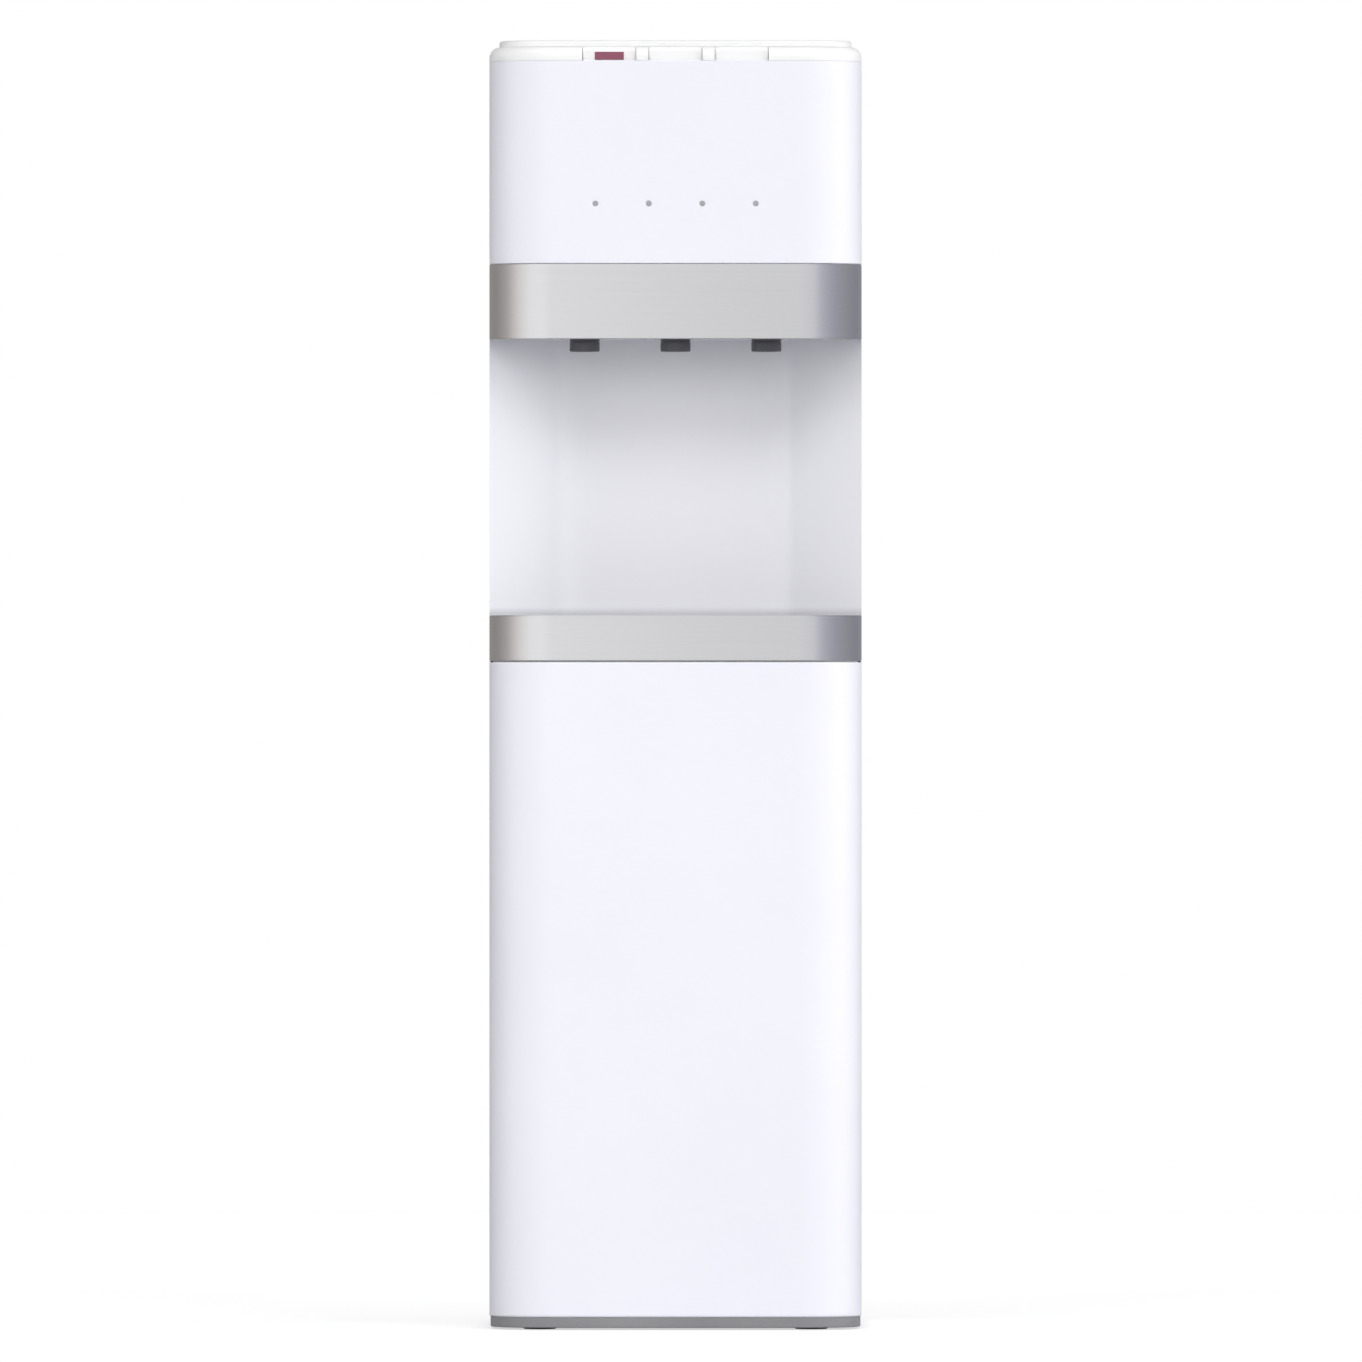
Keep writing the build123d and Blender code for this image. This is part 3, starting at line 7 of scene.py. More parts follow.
import bmesh
import bpy
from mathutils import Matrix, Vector


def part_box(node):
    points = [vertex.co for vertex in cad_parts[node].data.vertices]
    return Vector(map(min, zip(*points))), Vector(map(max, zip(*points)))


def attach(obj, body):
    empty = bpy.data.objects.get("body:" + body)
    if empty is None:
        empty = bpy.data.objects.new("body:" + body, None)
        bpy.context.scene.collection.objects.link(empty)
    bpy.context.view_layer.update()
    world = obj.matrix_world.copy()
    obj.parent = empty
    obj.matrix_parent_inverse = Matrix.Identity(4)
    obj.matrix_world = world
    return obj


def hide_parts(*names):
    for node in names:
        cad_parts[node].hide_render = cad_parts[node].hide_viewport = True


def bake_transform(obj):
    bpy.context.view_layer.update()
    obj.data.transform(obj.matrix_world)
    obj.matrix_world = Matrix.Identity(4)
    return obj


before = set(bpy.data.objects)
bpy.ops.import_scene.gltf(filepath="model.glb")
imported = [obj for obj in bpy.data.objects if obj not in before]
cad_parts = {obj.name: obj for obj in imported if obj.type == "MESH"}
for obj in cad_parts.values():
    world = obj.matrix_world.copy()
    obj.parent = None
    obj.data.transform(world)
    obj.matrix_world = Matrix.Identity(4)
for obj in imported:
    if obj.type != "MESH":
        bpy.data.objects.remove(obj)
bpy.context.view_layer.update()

Piece = bpy.types.Object
Socket = bpy.types.NodeSocket
Colour = tuple[float, float, float]
Flat = tuple[float, float]
Value = Socket | float | tuple[float, ...]

log = logging.getLogger("dispenser")
MM = 0.001
ALCOVE_FLOOR = 594 * MM
SHARP_EDGE = math.radians(35)


class Side(Enum):
    """The two sides of the cabinet, as the sign of X."""

    LEFT = -1
    RIGHT = 1


class Tap(Enum):
    """The three taps in their order from the left, as a place across the front."""

    HOT = -1
    ROOM = 0
    COLD = 1

    @property
    def key(self) -> str:
        """The node and body of the tap's key."""
        return f"{self.name.lower()}_key"


class Slot(Enum):
    """The material slots of the record."""

    WHITE_PLASTIC = "white_plastic"
    WHITE_STEEL = "white_steel"
    BRUSHED_TRIM = "brushed_trim"
    NATURAL_PLASTIC = "natural_plastic"
    GREY_PLASTIC = "grey_plastic"
    DARK_PLASTIC = "dark_plastic"
    RED_PLASTIC = "red_plastic"
    BLACK_SWITCH = "black_switch"
    DARK_STEEL = "dark_coated_steel"
    RUBBER = "rubber"
    SILICONE = "silicone"
    LENS = "lens"
    CIRCUIT_BOARD = "circuit_board"
    GALVANISED = "galvanised"
    PLAIN_STEEL = "plain_steel"
    FOAM = "foam"
    COPPER = "copper"


# Node trees


class Tree:
    """A node tree while it is being built."""

    def __init__(self, tree: bpy.types.NodeTree) -> None:
        """Keeps the tree that the nodes go into."""
        self.tree = tree

    def add(self, kind: str, sockets: dict | None = None, **settings: object) -> bpy.types.Node:
        """Adds a node, sets its properties and fills its sockets.

        Args:
            kind: The node's type name.
            sockets: Values or output sockets, by the name or number of the input.
            **settings: Properties of the node itself.

        Returns:
            The new node.
        """
        node = self.tree.nodes.new(kind)
        for name, value in settings.items():
            setattr(node, name, value)
        for socket, value in (sockets or {}).items():
            if isinstance(value, Socket):
                self.tree.links.new(value, node.inputs[socket])
            else:
                node.inputs[socket].default_value = value
        return node

    def math(self, operation: str, first: Value, second: Value = 0.0) -> Socket:
        """Adds a math node and returns its result."""
        return self.add("ShaderNodeMath", {0: first, 1: second}, operation=operation).outputs[0]

    def noise(self, place: Socket, scale: Value, detail: float) -> Socket:
        """Adds a noise texture and returns its value."""
        sockets = {"Vector": place, "Scale": scale, "Detail": detail}
        return self.add("ShaderNodeTexNoise", sockets).outputs["Fac"]

    def mix(self, weight: Socket, first: Value, second: Value) -> Socket:
        """Adds a mix of two colours and returns it."""
        sockets = {0: weight, 6: first, 7: second}
        return self.add("ShaderNodeMix", sockets, data_type="RGBA").outputs[2]

    def map_range(
        self, value: Socket, start: Flat = (0, 1), end: Flat = (0, 1), **how: str
    ) -> Socket:
        """Maps a value from one range onto another and returns it.

        Args:
            value: The value to map.
            start: The range it comes from.
            end: The range it goes to.
            **how: Properties of the node.

        Returns:
            The mapped value.
        """
        sockets = {
            "Value": value, "From Min": start[0], "From Max": start[1],
            "To Min": end[0], "To Max": end[1],
        }
        return self.add("ShaderNodeMapRange", sockets, **how).outputs["Result"]

    def socket(self, name: str, kind: str, into: bool, value: Value | None = None) -> None:
        """Adds a named input or output to a group.

        Args:
            name: The socket's name.
            kind: Its type, without the NodeSocket in front.
            into: True for an input, False for an output.
            value: Its default value, for an input.
        """
        socket = self.tree.interface.new_socket(
            name=name, in_out="INPUT" if into else "OUTPUT", socket_type=f"NodeSocket{kind}"
        )
        if value is not None:
            socket.default_value = value

    def ended(self, outputs: dict[str, Socket]) -> bpy.types.NodeTree:
        """Ends a group in its outputs and returns the finished group."""
        self.add("NodeGroupOutput", outputs)
        return self.tree


def shader_group(name: str, inputs: dict, outputs: dict) -> tuple[Tree, bpy.types.NodeOutputs]:
    """Starts a shader node group.

    Args:
        name: The group's name.
        inputs: Name of each number or colour that goes in, and its default value.
        outputs: Socket name to its type.

    Returns:
        The tree, and the sockets at which its inputs come in.
    """
    tree = Tree(bpy.data.node_groups.new(name, "ShaderNodeTree"))
    tree.socket("Vector", "Vector", True)
    for label, value in inputs.items():
        tree.socket(label, "Color" if isinstance(value, tuple) else "Float", True, value)
    for label, kind in outputs.items():
        tree.socket(label, kind, False)
    return tree, tree.add("NodeGroupInput").outputs


def cleared(owner: bpy.types.Material | bpy.types.World) -> Tree:
    """Empties the node tree of a material or of the world.

    Args:
        owner: The material or the world.

    Returns:
        Its tree, empty.
    """
    owner.use_nodes = True
    owner.node_tree.nodes.clear()
    return Tree(owner.node_tree)


@dataclass
class Effects:
    """The shader groups that more than one finish uses, each made once."""

    made: dict[str, bpy.types.NodeTree] = field(default_factory=dict)

    def group(self, name: str) -> bpy.types.NodeTree:
        """Looks a group up by its name, and makes it the first time.

        Args:
            name: What follows make_ in the name of the method for it.

        Returns:
            The group.
        """
        if name not in self.made:
            self.made[name] = getattr(self, f"make_{name}")()
        return self.made[name]

    def make_mottle(self) -> bpy.types.NodeTree:
        """Cloudy variation between two colours, as in any moulded or painted surface.

        Returns:
            The group, from Colour, Tint and Scale to Colour.
        """
        white = (1.0, 1.0, 1.0, 1.0)
        tree, ends = shader_group(
            "mottle", {"Colour": white, "Tint": white, "Scale": 6.0}, {"Colour": "Color"}
        )
        mask = tree.map_range(tree.noise(ends["Vector"], ends["Scale"], 4.0), start=(0.3, 0.7))
        return tree.ended({"Colour": tree.mix(mask, ends["Colour"], ends["Tint"])})

    def make_film(self) -> bpy.types.NodeTree:
        """Roughness that drifts over a surface, with faint wiping marks.

        Returns:
            The group, from Base, Spread and Scale to Roughness.
        """
        tree, ends = shader_group(
            "film", {"Base": 0.3, "Spread": 0.06, "Scale": 12.0}, {"Roughness": "Float"}
        )
        cloud = tree.noise(ends["Vector"], ends["Scale"], 5.0)
        wiped = tree.add(
            "ShaderNodeMapping",
            {"Vector": ends["Vector"], "Rotation": (0.4, 0.2, 0.9), "Scale": (3, 3, 40)},
        )
        both = tree.math("ADD", cloud, tree.noise(wiped.outputs["Vector"], 2.0, 3.0))
        drift = tree.math("MULTIPLY", tree.math("SUBTRACT", both, 1.0), ends["Spread"])
        return tree.ended({"Roughness": tree.math("ADD", drift, ends["Base"])})

    def make_relief(self) -> bpy.types.NodeTree:
        """Fine skin of a moulding or a coat: a soft coarse wave with a fine grain on it.

        Returns:
            The group, from Coarse, Fine and Balance to Height.
        """
        tree, ends = shader_group(
            "relief", {"Coarse": 120.0, "Fine": 1400.0, "Balance": 0.5}, {"Height": "Float"}
        )
        coarse, fine = (tree.noise(ends["Vector"], ends[name], 2.0) for name in ("Coarse", "Fine"))
        mix = tree.add("ShaderNodeMix", {0: ends["Balance"], 2: coarse, 3: fine})
        return tree.ended({"Height": mix.outputs[0]})

    def make_brushing(self) -> bpy.types.NodeTree:
        """Level brush lines round an upright surface, long across and close in height.

        Returns:
            The group, from Along and Across to Height and Mask.
        """
        tree, ends = shader_group(
            "brushing", {"Along": 9.0, "Across": 1600.0}, {"Height": "Float", "Mask": "Float"}
        )
        scale = tree.add(
            "ShaderNodeCombineXYZ", {"X": ends["Along"], "Y": ends["Along"], "Z": ends["Across"]}
        )
        stretched = tree.add(
            "ShaderNodeVectorMath", {0: ends["Vector"], 1: scale.outputs["Vector"]},
            operation="MULTIPLY",
        ).outputs["Vector"]
        lines = tree.noise(stretched, 1.0, 3.0)
        broad = tree.noise(stretched, 0.12, 2.0)
        return tree.ended({"Height": lines, "Mask": tree.math("MULTIPLY", lines, broad)})


# Finishes


@dataclass(frozen=True)
class Canvas:
    """A material's tree, its object coordinates and the shared shader groups."""

    tree: Tree
    effects: Effects
    place: Socket

    def effect(self, name: str, **sockets: Value) -> bpy.types.NodeOutputs:
        """Places a shared group on the object coordinates.

        Args:
            name: The group's name.
            **sockets: Values of its inputs.

        Returns:
            The group's outputs.
        """
        group = self.effects.group(name)
        sockets["Vector"] = self.place
        return self.tree.add("ShaderNodeGroup", sockets, node_tree=group).outputs


@dataclass(frozen=True)
class Finish:
    """A surface finish: smooth or grained, of one colour with a little variation."""

    name: str
    colour: Colour
    tint: Colour
    roughness: float
    slot: Slot
    mottle: float = 6.0
    film: float = 0.06
    coarse: float = 120.0
    fine: float = 1400.0
    balance: float = 0.5
    relief: float = 0.02
    depth: float = 0.1 * MM
    metallic: float = 0.0
    level: float = 0.5
    coat: float = 0.0
    coat_roughness: float = 0.08
    subsurface: float = 0.0
    bleed: float = 2 * MM
    transmission: float = 0.0

    def material(self, effects: Effects) -> bpy.types.Material:
        """Makes the material, or returns it where it is already made.

        Args:
            effects: The shader groups it draws on.

        Returns:
            The node-based material.
        """
        known = bpy.data.materials.get(self.name)
        if known:
            return known
        material = bpy.data.materials.new(self.name)
        material.diffuse_color = (*self.colour, 1)
        tree = cleared(material)
        place = tree.add("ShaderNodeTexCoord").outputs["Object"]
        colour, roughness, height = self.fields(Canvas(tree, effects, place))
        bump = tree.add(
            "ShaderNodeBump", {"Strength": self.relief, "Distance": self.depth, "Height": height}
        )
        shader = tree.add("ShaderNodeBsdfPrincipled", {
            "Base Color": colour, "Roughness": roughness, "Normal": bump.outputs["Normal"],
            "Metallic": self.metallic, "Specular IOR Level": self.level,
            "Coat Weight": self.coat, "Coat Roughness": self.coat_roughness,
            "Subsurface Weight": self.subsurface, "Subsurface Scale": self.bleed,
            "Transmission Weight": self.transmission,
        })
        tree.add("ShaderNodeOutputMaterial", {"Surface": shader.outputs["BSDF"]})
        return material

    def fields(self, canvas: Canvas) -> tuple[Socket, Socket, Socket]:
        """Returns the finish's colour, roughness and height."""
        film = canvas.effect("film", Base=self.roughness, Spread=self.film)
        return self.colouring(canvas), film["Roughness"], self.height(canvas)

    def colouring(self, canvas: Canvas) -> Socket:
        """The colour field of the finish."""
        colours = {"Colour": (*self.colour, 1), "Tint": (*self.tint, 1)}
        return canvas.effect("mottle", Scale=self.mottle, **colours)["Colour"]

    def height(self, canvas: Canvas) -> Socket:
        """The height field of the finish."""
        grain = {"Coarse": self.coarse, "Fine": self.fine, "Balance": self.balance}
        return canvas.effect("relief", **grain)["Height"]


@dataclass(frozen=True)
class BrushedSteel(Finish):
    """Steel with level brush lines."""

    along: float = 9.0
    across: float = 1600.0

    def fields(self, canvas: Canvas) -> tuple[Socket, Socket, Socket]:
        """The colour, roughness and height of the finish, all led by the brush lines.

        Args:
            canvas: Where the nodes go.

        Returns:
            The three sockets, in that order.
        """
        lines = canvas.effect("brushing", Along=self.along, Across=self.across)
        colour = canvas.tree.mix(lines["Mask"], (*self.colour, 1), (*self.tint, 1))
        limits = (self.roughness - self.film, self.roughness + self.film)
        return colour, canvas.tree.map_range(lines["Height"], end=limits), lines["Height"]


@dataclass(frozen=True)
class ShadedFootMoulding(Finish):
    """A moulding with painted shade at its foot, darker towards the bottom, against a light band
    that the lamps leave there.
    """

    foot: float = 0.0
    reach: float = 8 * MM
    shade: float = 0.36

    def colouring(self, canvas: Canvas) -> Socket:
        """The colour field of the finish, with painted shade at the foot.

        Args:
            canvas: Where the nodes go.

        Returns:
            The socket that carries the colour.
        """
        clean = super().colouring(canvas)
        height = canvas.tree.add("ShaderNodeSeparateXYZ", {"Vector": canvas.place}).outputs["Z"]
        # Painted shade: the colour is mixed towards black over the reach above the foot, strongest
        # at the foot.
        mask = canvas.tree.map_range(
            height, (self.foot, self.foot + self.reach), (self.shade, 0.0),
            interpolation_type="SMOOTHSTEP",
        )
        return canvas.tree.mix(mask, clean, (0, 0, 0, 1))


@dataclass(frozen=True)
class PittedFoam(Finish):
    """Closed-cell foam with small pits."""

    def height(self, canvas: Canvas) -> Socket:
        """The pits, as distance to the nearest cell centre."""
        sockets = {"Vector": canvas.place, "Scale": self.fine}
        return canvas.tree.add("ShaderNodeTexVoronoi", sockets).outputs["Distance"]


SMOOTH = {"relief": 0.03, "coarse": 60.0, "balance": 0.7}
GRAINED = {"coarse": 500.0, "fine": 1800.0}
COATED = {"relief": 0.15, "coarse": 400.0, "fine": 1200.0}
GLOSSY = {"coat": 0.2, "relief": 0.02}
FINISHES = {finish.name: finish for finish in (
    Finish("cool_white_moulding", (0.82, 0.82, 0.885), (0.80, 0.80, 0.87), 0.34,
           Slot.WHITE_PLASTIC, **SMOOTH),
    # The liner carries painted shade along its foot.
    ShadedFootMoulding("liner_moulding", (0.82, 0.82, 0.865), (0.80, 0.80, 0.845), 0.34,
                       Slot.WHITE_PLASTIC, foot=ALCOVE_FLOOR, **SMOOTH),
    # The lid's white is set darker than the deck's, as painted shade that greys its front edge.
    Finish("lid_moulding", (0.78, 0.78, 0.78), (0.76, 0.76, 0.76), 0.36,
           Slot.WHITE_PLASTIC, **{**SMOOTH, "relief": 0.05}),
    # The deck's white is set lighter than the front panels', partly a whiter moulding and partly
    # painted light for its lit top.
    Finish("bright_white_moulding", (0.86, 0.86, 0.86), (0.84, 0.84, 0.84), 0.34,
           Slot.WHITE_PLASTIC, **SMOOTH),
    Finish("white_key_moulding", (0.86, 0.86, 0.865), (0.84, 0.84, 0.845), 0.28,
           Slot.WHITE_PLASTIC, relief=0.02, coarse=90.0),
    Finish("white_powder_coat", (0.90, 0.90, 0.92), (0.87, 0.87, 0.90), 0.42, Slot.WHITE_STEEL,
           relief=0.12, coarse=350.0, fine=900.0, balance=0.35),
    Finish("natural_moulding", (0.84, 0.84, 0.82), (0.80, 0.80, 0.77), 0.45,
           Slot.NATURAL_PLASTIC, subsurface=0.15, relief=0.05),
    Finish("grey_grained_moulding", (0.16, 0.16, 0.17), (0.13, 0.13, 0.14), 0.5,
           Slot.GREY_PLASTIC, relief=0.25, **GRAINED),
    Finish("dark_grained_moulding", (0.08, 0.08, 0.09), (0.06, 0.06, 0.07), 0.48,
           Slot.DARK_PLASTIC, relief=0.2, **GRAINED),
    Finish("raspberry_moulding", (0.25, 0.06, 0.105), (0.22, 0.05, 0.095), 0.24,
           Slot.RED_PLASTIC, **GLOSSY),
    Finish("red_gloss_moulding", (0.46, 0.035, 0.085), (0.40, 0.03, 0.075), 0.24,
           Slot.RED_PLASTIC, **GLOSSY),
    Finish("black_gloss_moulding", (0.03, 0.03, 0.03), (0.02, 0.02, 0.02), 0.25,
           Slot.BLACK_SWITCH, coat=0.3, relief=0.02),
    Finish("base_coat", (0.255, 0.255, 0.265), (0.20, 0.20, 0.21), 0.42,
           Slot.DARK_STEEL, **COATED),
    Finish("dark_coat", (0.09, 0.09, 0.10), (0.07, 0.07, 0.08), 0.38, Slot.DARK_STEEL, **COATED),
    Finish("matt_rubber", (0.05, 0.05, 0.05), (0.07, 0.07, 0.07), 0.75, Slot.RUBBER,
           relief=0.3, coarse=700.0, fine=2200.0),
    Finish("milky_silicone", (0.80, 0.80, 0.78), (0.76, 0.76, 0.73), 0.4, Slot.SILICONE,
           subsurface=0.4, relief=0.04),
    Finish("clear_lens", (0.75, 0.76, 0.78), (0.70, 0.71, 0.74), 0.12, Slot.LENS,
           transmission=0.55, relief=0.01),
    Finish("green_laminate", (0.05, 0.22, 0.12), (0.04, 0.17, 0.10), 0.4, Slot.CIRCUIT_BOARD,
           coat=0.3, mottle=90.0),
    Finish("zinc_sheet", (0.55, 0.57, 0.58), (0.44, 0.46, 0.48), 0.38, Slot.GALVANISED,
           metallic=0.85, mottle=70.0, film=0.12, relief=0.06),
    BrushedSteel("brushed_trim_steel", (0.66, 0.66, 0.675), (0.60, 0.60, 0.615), 0.26,
                 Slot.BRUSHED_TRIM, metallic=1.0, film=0.035, relief=0.06, depth=0.03 * MM),
    BrushedSteel("plain_stainless", (0.60, 0.60, 0.60), (0.52, 0.52, 0.53), 0.3,
                 Slot.PLAIN_STEEL, metallic=1.0, relief=0.08, across=700.0),
    PittedFoam("cell_foam", (0.82, 0.80, 0.74), (0.74, 0.71, 0.63), 0.9, Slot.FOAM,
               fine=600.0, relief=0.6, depth=0.5 * MM),
    Finish("bare_copper", (0.72, 0.42, 0.27), (0.52, 0.27, 0.17), 0.3, Slot.COPPER,
           metallic=1.0, mottle=45.0, film=0.12, relief=0.05),
)}


@dataclass
class Wardrobe:
    """Gives each piece its finish."""

    effects: Effects = field(default_factory=Effects)

    def material(self, name: str) -> bpy.types.Material:
        """Returns the material of a finish by the finish's name."""
        return FINISHES[name].material(self.effects)

    def dress(self, piece: Piece, name: str) -> None:
        """Puts a finish on all of a new piece.

        Args:
            piece: The new piece.
            name: The finish.
        """
        piece.data.materials.clear()
        piece.data.materials.append(self.material(name))

    def dress_nodes(self, name: str, *nodes: str) -> None:
        """Puts a finish on CAD nodes that stay as they are.

        Args:
            name: The finish.
            *nodes: The nodes' names.
        """
        material = self.material(name)
        for node in nodes:
            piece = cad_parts[node]
            if not piece.material_slots:
                piece.data.materials.append(material)
            for slot in piece.material_slots:
                slot.material = material
            log.info("node %s: %s", node, name)

    def fit(self, piece: Piece, finish: str, body: str, *replaced: str) -> None:
        """Dresses a new piece and fastens it to its body.

        Args:
            piece: The finished mesh.
            finish: The finish's name.
            body: The body it rides on.
            *replaced: The CAD nodes that it stands for.
        """
        self.dress(piece, finish)
        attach(piece, body)
        if replaced:
            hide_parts(*replaced)
        log.info("piece %s: %d faces, on %s", piece.name, len(piece.data.polygons), body)


# Shapes


def link(name: str, data: bpy.types.ID) -> Piece:
    """Makes an object and links it to the scene.

    Args:
        name: The object's name.
        data: Its mesh, lamp or camera.

    Returns:
        The new object.
    """
    piece = bpy.data.objects.new(name, data)
    bpy.context.scene.collection.objects.link(piece)
    return piece


def smooth(data: bpy.types.Mesh) -> None:
    """Shades a mesh smooth, but for its sharp edges.

    Args:
        data: The mesh.
    """
    for face in data.polygons:
        face.use_smooth = True
    data.set_sharp_from_angle(angle=SHARP_EDGE)


def rounded(
    corners: list[Flat], radii: list[float], closed: bool = True, steps: int = 8,
    guard: float = 0.0,
) -> list[Vector]:
    """Rounds the corners of a line in the plane.

    Args:
        corners: The sharp corners.
        radii: One radius a corner, 0 for a sharp one.
        closed: True where the last corner joins the first.
        steps: Runs in each arc.
        guard: Extra points this far before and after each arc, which keep the flats flat.

    Returns:
        The points of the rounded line.
    """
    points: list[Vector] = []
    last = len(corners) - 1
    for index, (corner, radius) in enumerate(zip(corners, radii)):
        here = Vector(corner)
        if radius <= 0 or (not closed and index in (0, last)):
            points.append(here)
            continue
        before = (Vector(corners[index - 1]) - here).normalized()
        after = (Vector(corners[(index + 1) % len(corners)]) - here).normalized()
        half = before.angle(after) / 2
        cut = radius / math.tan(half)
        centre = here + (before + after).normalized() * (radius / math.sin(half))
        start = here + before * cut - centre
        end = here + after * cut - centre
        first = math.atan2(start.y, start.x)
        turn = (math.atan2(end.y, end.x) - first + math.pi) % math.tau - math.pi
        if guard:
            points.append(here + before * (cut + guard))
        for step in range(steps + 1):
            angle = first + turn * step / steps
            points.append(centre + Vector((math.cos(angle), math.sin(angle))) * radius)
        if guard:
            points.append(here + after * (cut + guard))
    return points


def quarter(steps: int) -> list[Flat]:
    """How far a unit edge has come in, and has still to rise, at each step of its arc."""
    angles = (math.pi / 2 * step / steps for step in range(steps + 1))
    return [(1 - math.cos(angle), 1 - math.sin(angle)) for angle in angles]


class Maker:
    """Collects the faces of one piece and makes its mesh."""

    least_reach = 0.3
    least_run = 1e-9
    merge = 1e-6
    speck = 1e-7

    def __init__(self) -> None:
        """Starts an empty mesh."""
        self.mesh = bmesh.new()

    def loft(self, rings: list[list[Vector]], wrap: bool = False) -> None:
        """Joins closed rings of points with quads, and closes both ends with faces.

        Args:
            rings: Rings with one number of points.
            wrap: True where the last ring joins the first, so there are no ends.
        """
        rows = [[self.mesh.verts.new(point) for point in ring] for ring in rings]
        count = len(rows[0])
        pairs = list(zip(rows, rows[1:]))
        if wrap:
            pairs.append((rows[-1], rows[0]))
        for low, high in pairs:
            for index in range(count):
                after = (index + 1) % count
                self.mesh.faces.new((low[index], low[after], high[after], high[index]))
        if not wrap:
            self.mesh.faces.new(list(reversed(rows[0])))
            self.mesh.faces.new(rows[-1])

    def sweep(self, path: list[Vector], section: list[Vector], closed: bool = False) -> None:
        """Sweeps a closed section along a line in plan.

        Args:
            path: The plan line, with the inside on its left.
            section: Points (inset, z) of the section.
            closed: True where the path is a loop.
        """
        rings = []
        count = len(path)
        for index, here in enumerate(path):
            before = path[index - 1] if closed or index else here
            after = path[(index + 1) % count] if closed or index < count - 1 else here
            runs = (here - before, after - here)
            ways = [run.normalized() for run in runs if run.length > self.least_run]
            normals = [Vector((-way.y, way.x)) for way in ways]
            middle = sum(normals, Vector((0, 0))).normalized()
            reach = middle / max(middle.dot(normals[0]), self.least_reach)
            rings.append([
                Vector((here.x + reach.x * point.x, here.y + reach.y * point.x, point.y))
                for point in section
            ])
        self.loft(rings, wrap=closed)

    def turn(
        self, centre: Vector, profile: list[Flat], steps: int, upright: bool = True
    ) -> None:
        """Turns a profile about an upright or a front-to-back axis.

        Args:
            centre: A point on the axis.
            profile: Points (radius, place along the axis), a closed loop.
            steps: Faces round the axis.
            upright: True for the upright axis, False for front to back.
        """
        rings = []
        for step in range(steps):
            angle = math.tau * step / steps
            ring = []
            for radius, along in profile:
                across = Vector((math.cos(angle), math.sin(angle))) * radius
                if upright:
                    ring.append(Vector((centre.x + across.x, centre.y + across.y, along)))
                else:
                    ring.append(Vector((centre.x + across.x, along, centre.z + across.y)))
            rings.append(ring)
        self.loft(rings, wrap=True)

    def finish(self, name: str) -> Piece:
        """Closes the mesh and turns it into an object, linked to the scene.

        Args:
            name: Name of the mesh and of its object.

        Returns:
            The object.
        """
        bmesh.ops.remove_doubles(self.mesh, verts=self.mesh.verts, dist=self.merge)
        bmesh.ops.dissolve_degenerate(self.mesh, edges=self.mesh.edges, dist=self.speck)
        bmesh.ops.recalc_face_normals(self.mesh, faces=self.mesh.faces)
        data = bpy.data.meshes.new(name)
        self.mesh.to_mesh(data)
        self.mesh.free()
        smooth(data)
        return link(name, data)


def settle(piece: Piece) -> None:
    """Replaces a piece's mesh by its evaluated mesh and clears its modifiers.

    Args:
        piece: The piece, with its modifiers.
    """
    bpy.context.view_layer.update()
    graph = bpy.context.evaluated_depsgraph_get()
    mesh = bpy.data.meshes.new_from_object(piece.evaluated_get(graph))
    piece.modifiers.clear()
    piece.data = mesh


def cut_holes(piece: Piece, cutter: Piece) -> Piece:
    """Cuts one closed shape, or several that don't overlap, out of a piece.

    Args:
        piece: The piece to cut.
        cutter: The closed shape, which is removed.

    Returns:
        The cut piece.
    """
    boolean = piece.modifiers.new("holes", "BOOLEAN")
    boolean.operation = "DIFFERENCE"
    boolean.solver = "EXACT"
    boolean.object = cutter
    settle(piece)
    bpy.data.objects.remove(cutter)
    smooth(piece.data)
    return piece


def join(name: str, *pieces: Piece) -> Piece:
    """Puts several meshes into one piece.

    Args:
        name: Name of the piece.
        *pieces: The meshes, which are removed.

    Returns:
        The joined piece.
    """
    mesh = bmesh.new()
    for piece in pieces:
        mesh.from_mesh(piece.data)
        bpy.data.objects.remove(piece)
    data = bpy.data.meshes.new(name)
    mesh.to_mesh(data)
    mesh.free()
    return link(name, data)


def edge_arc(z: float, radius: float, up: bool, steps: int = 5) -> list[Flat]:
    """Insets and levels of a rounded edge between an upright wall and a flat face.

    Args:
        z: Level of the flat face.
        radius: Radius of the edge.
        up: True for an upper edge, from the wall to the top face.
        steps: Runs in the arc.

    Returns:
        The (inset, z) pairs from low to high.
    """
    if up:
        return [(radius * inward, z - radius * rise) for inward, rise in quarter(steps)]
    return [(radius * rise, z + radius * inward) for inward, rise in quarter(steps)]


# Geometry node trees


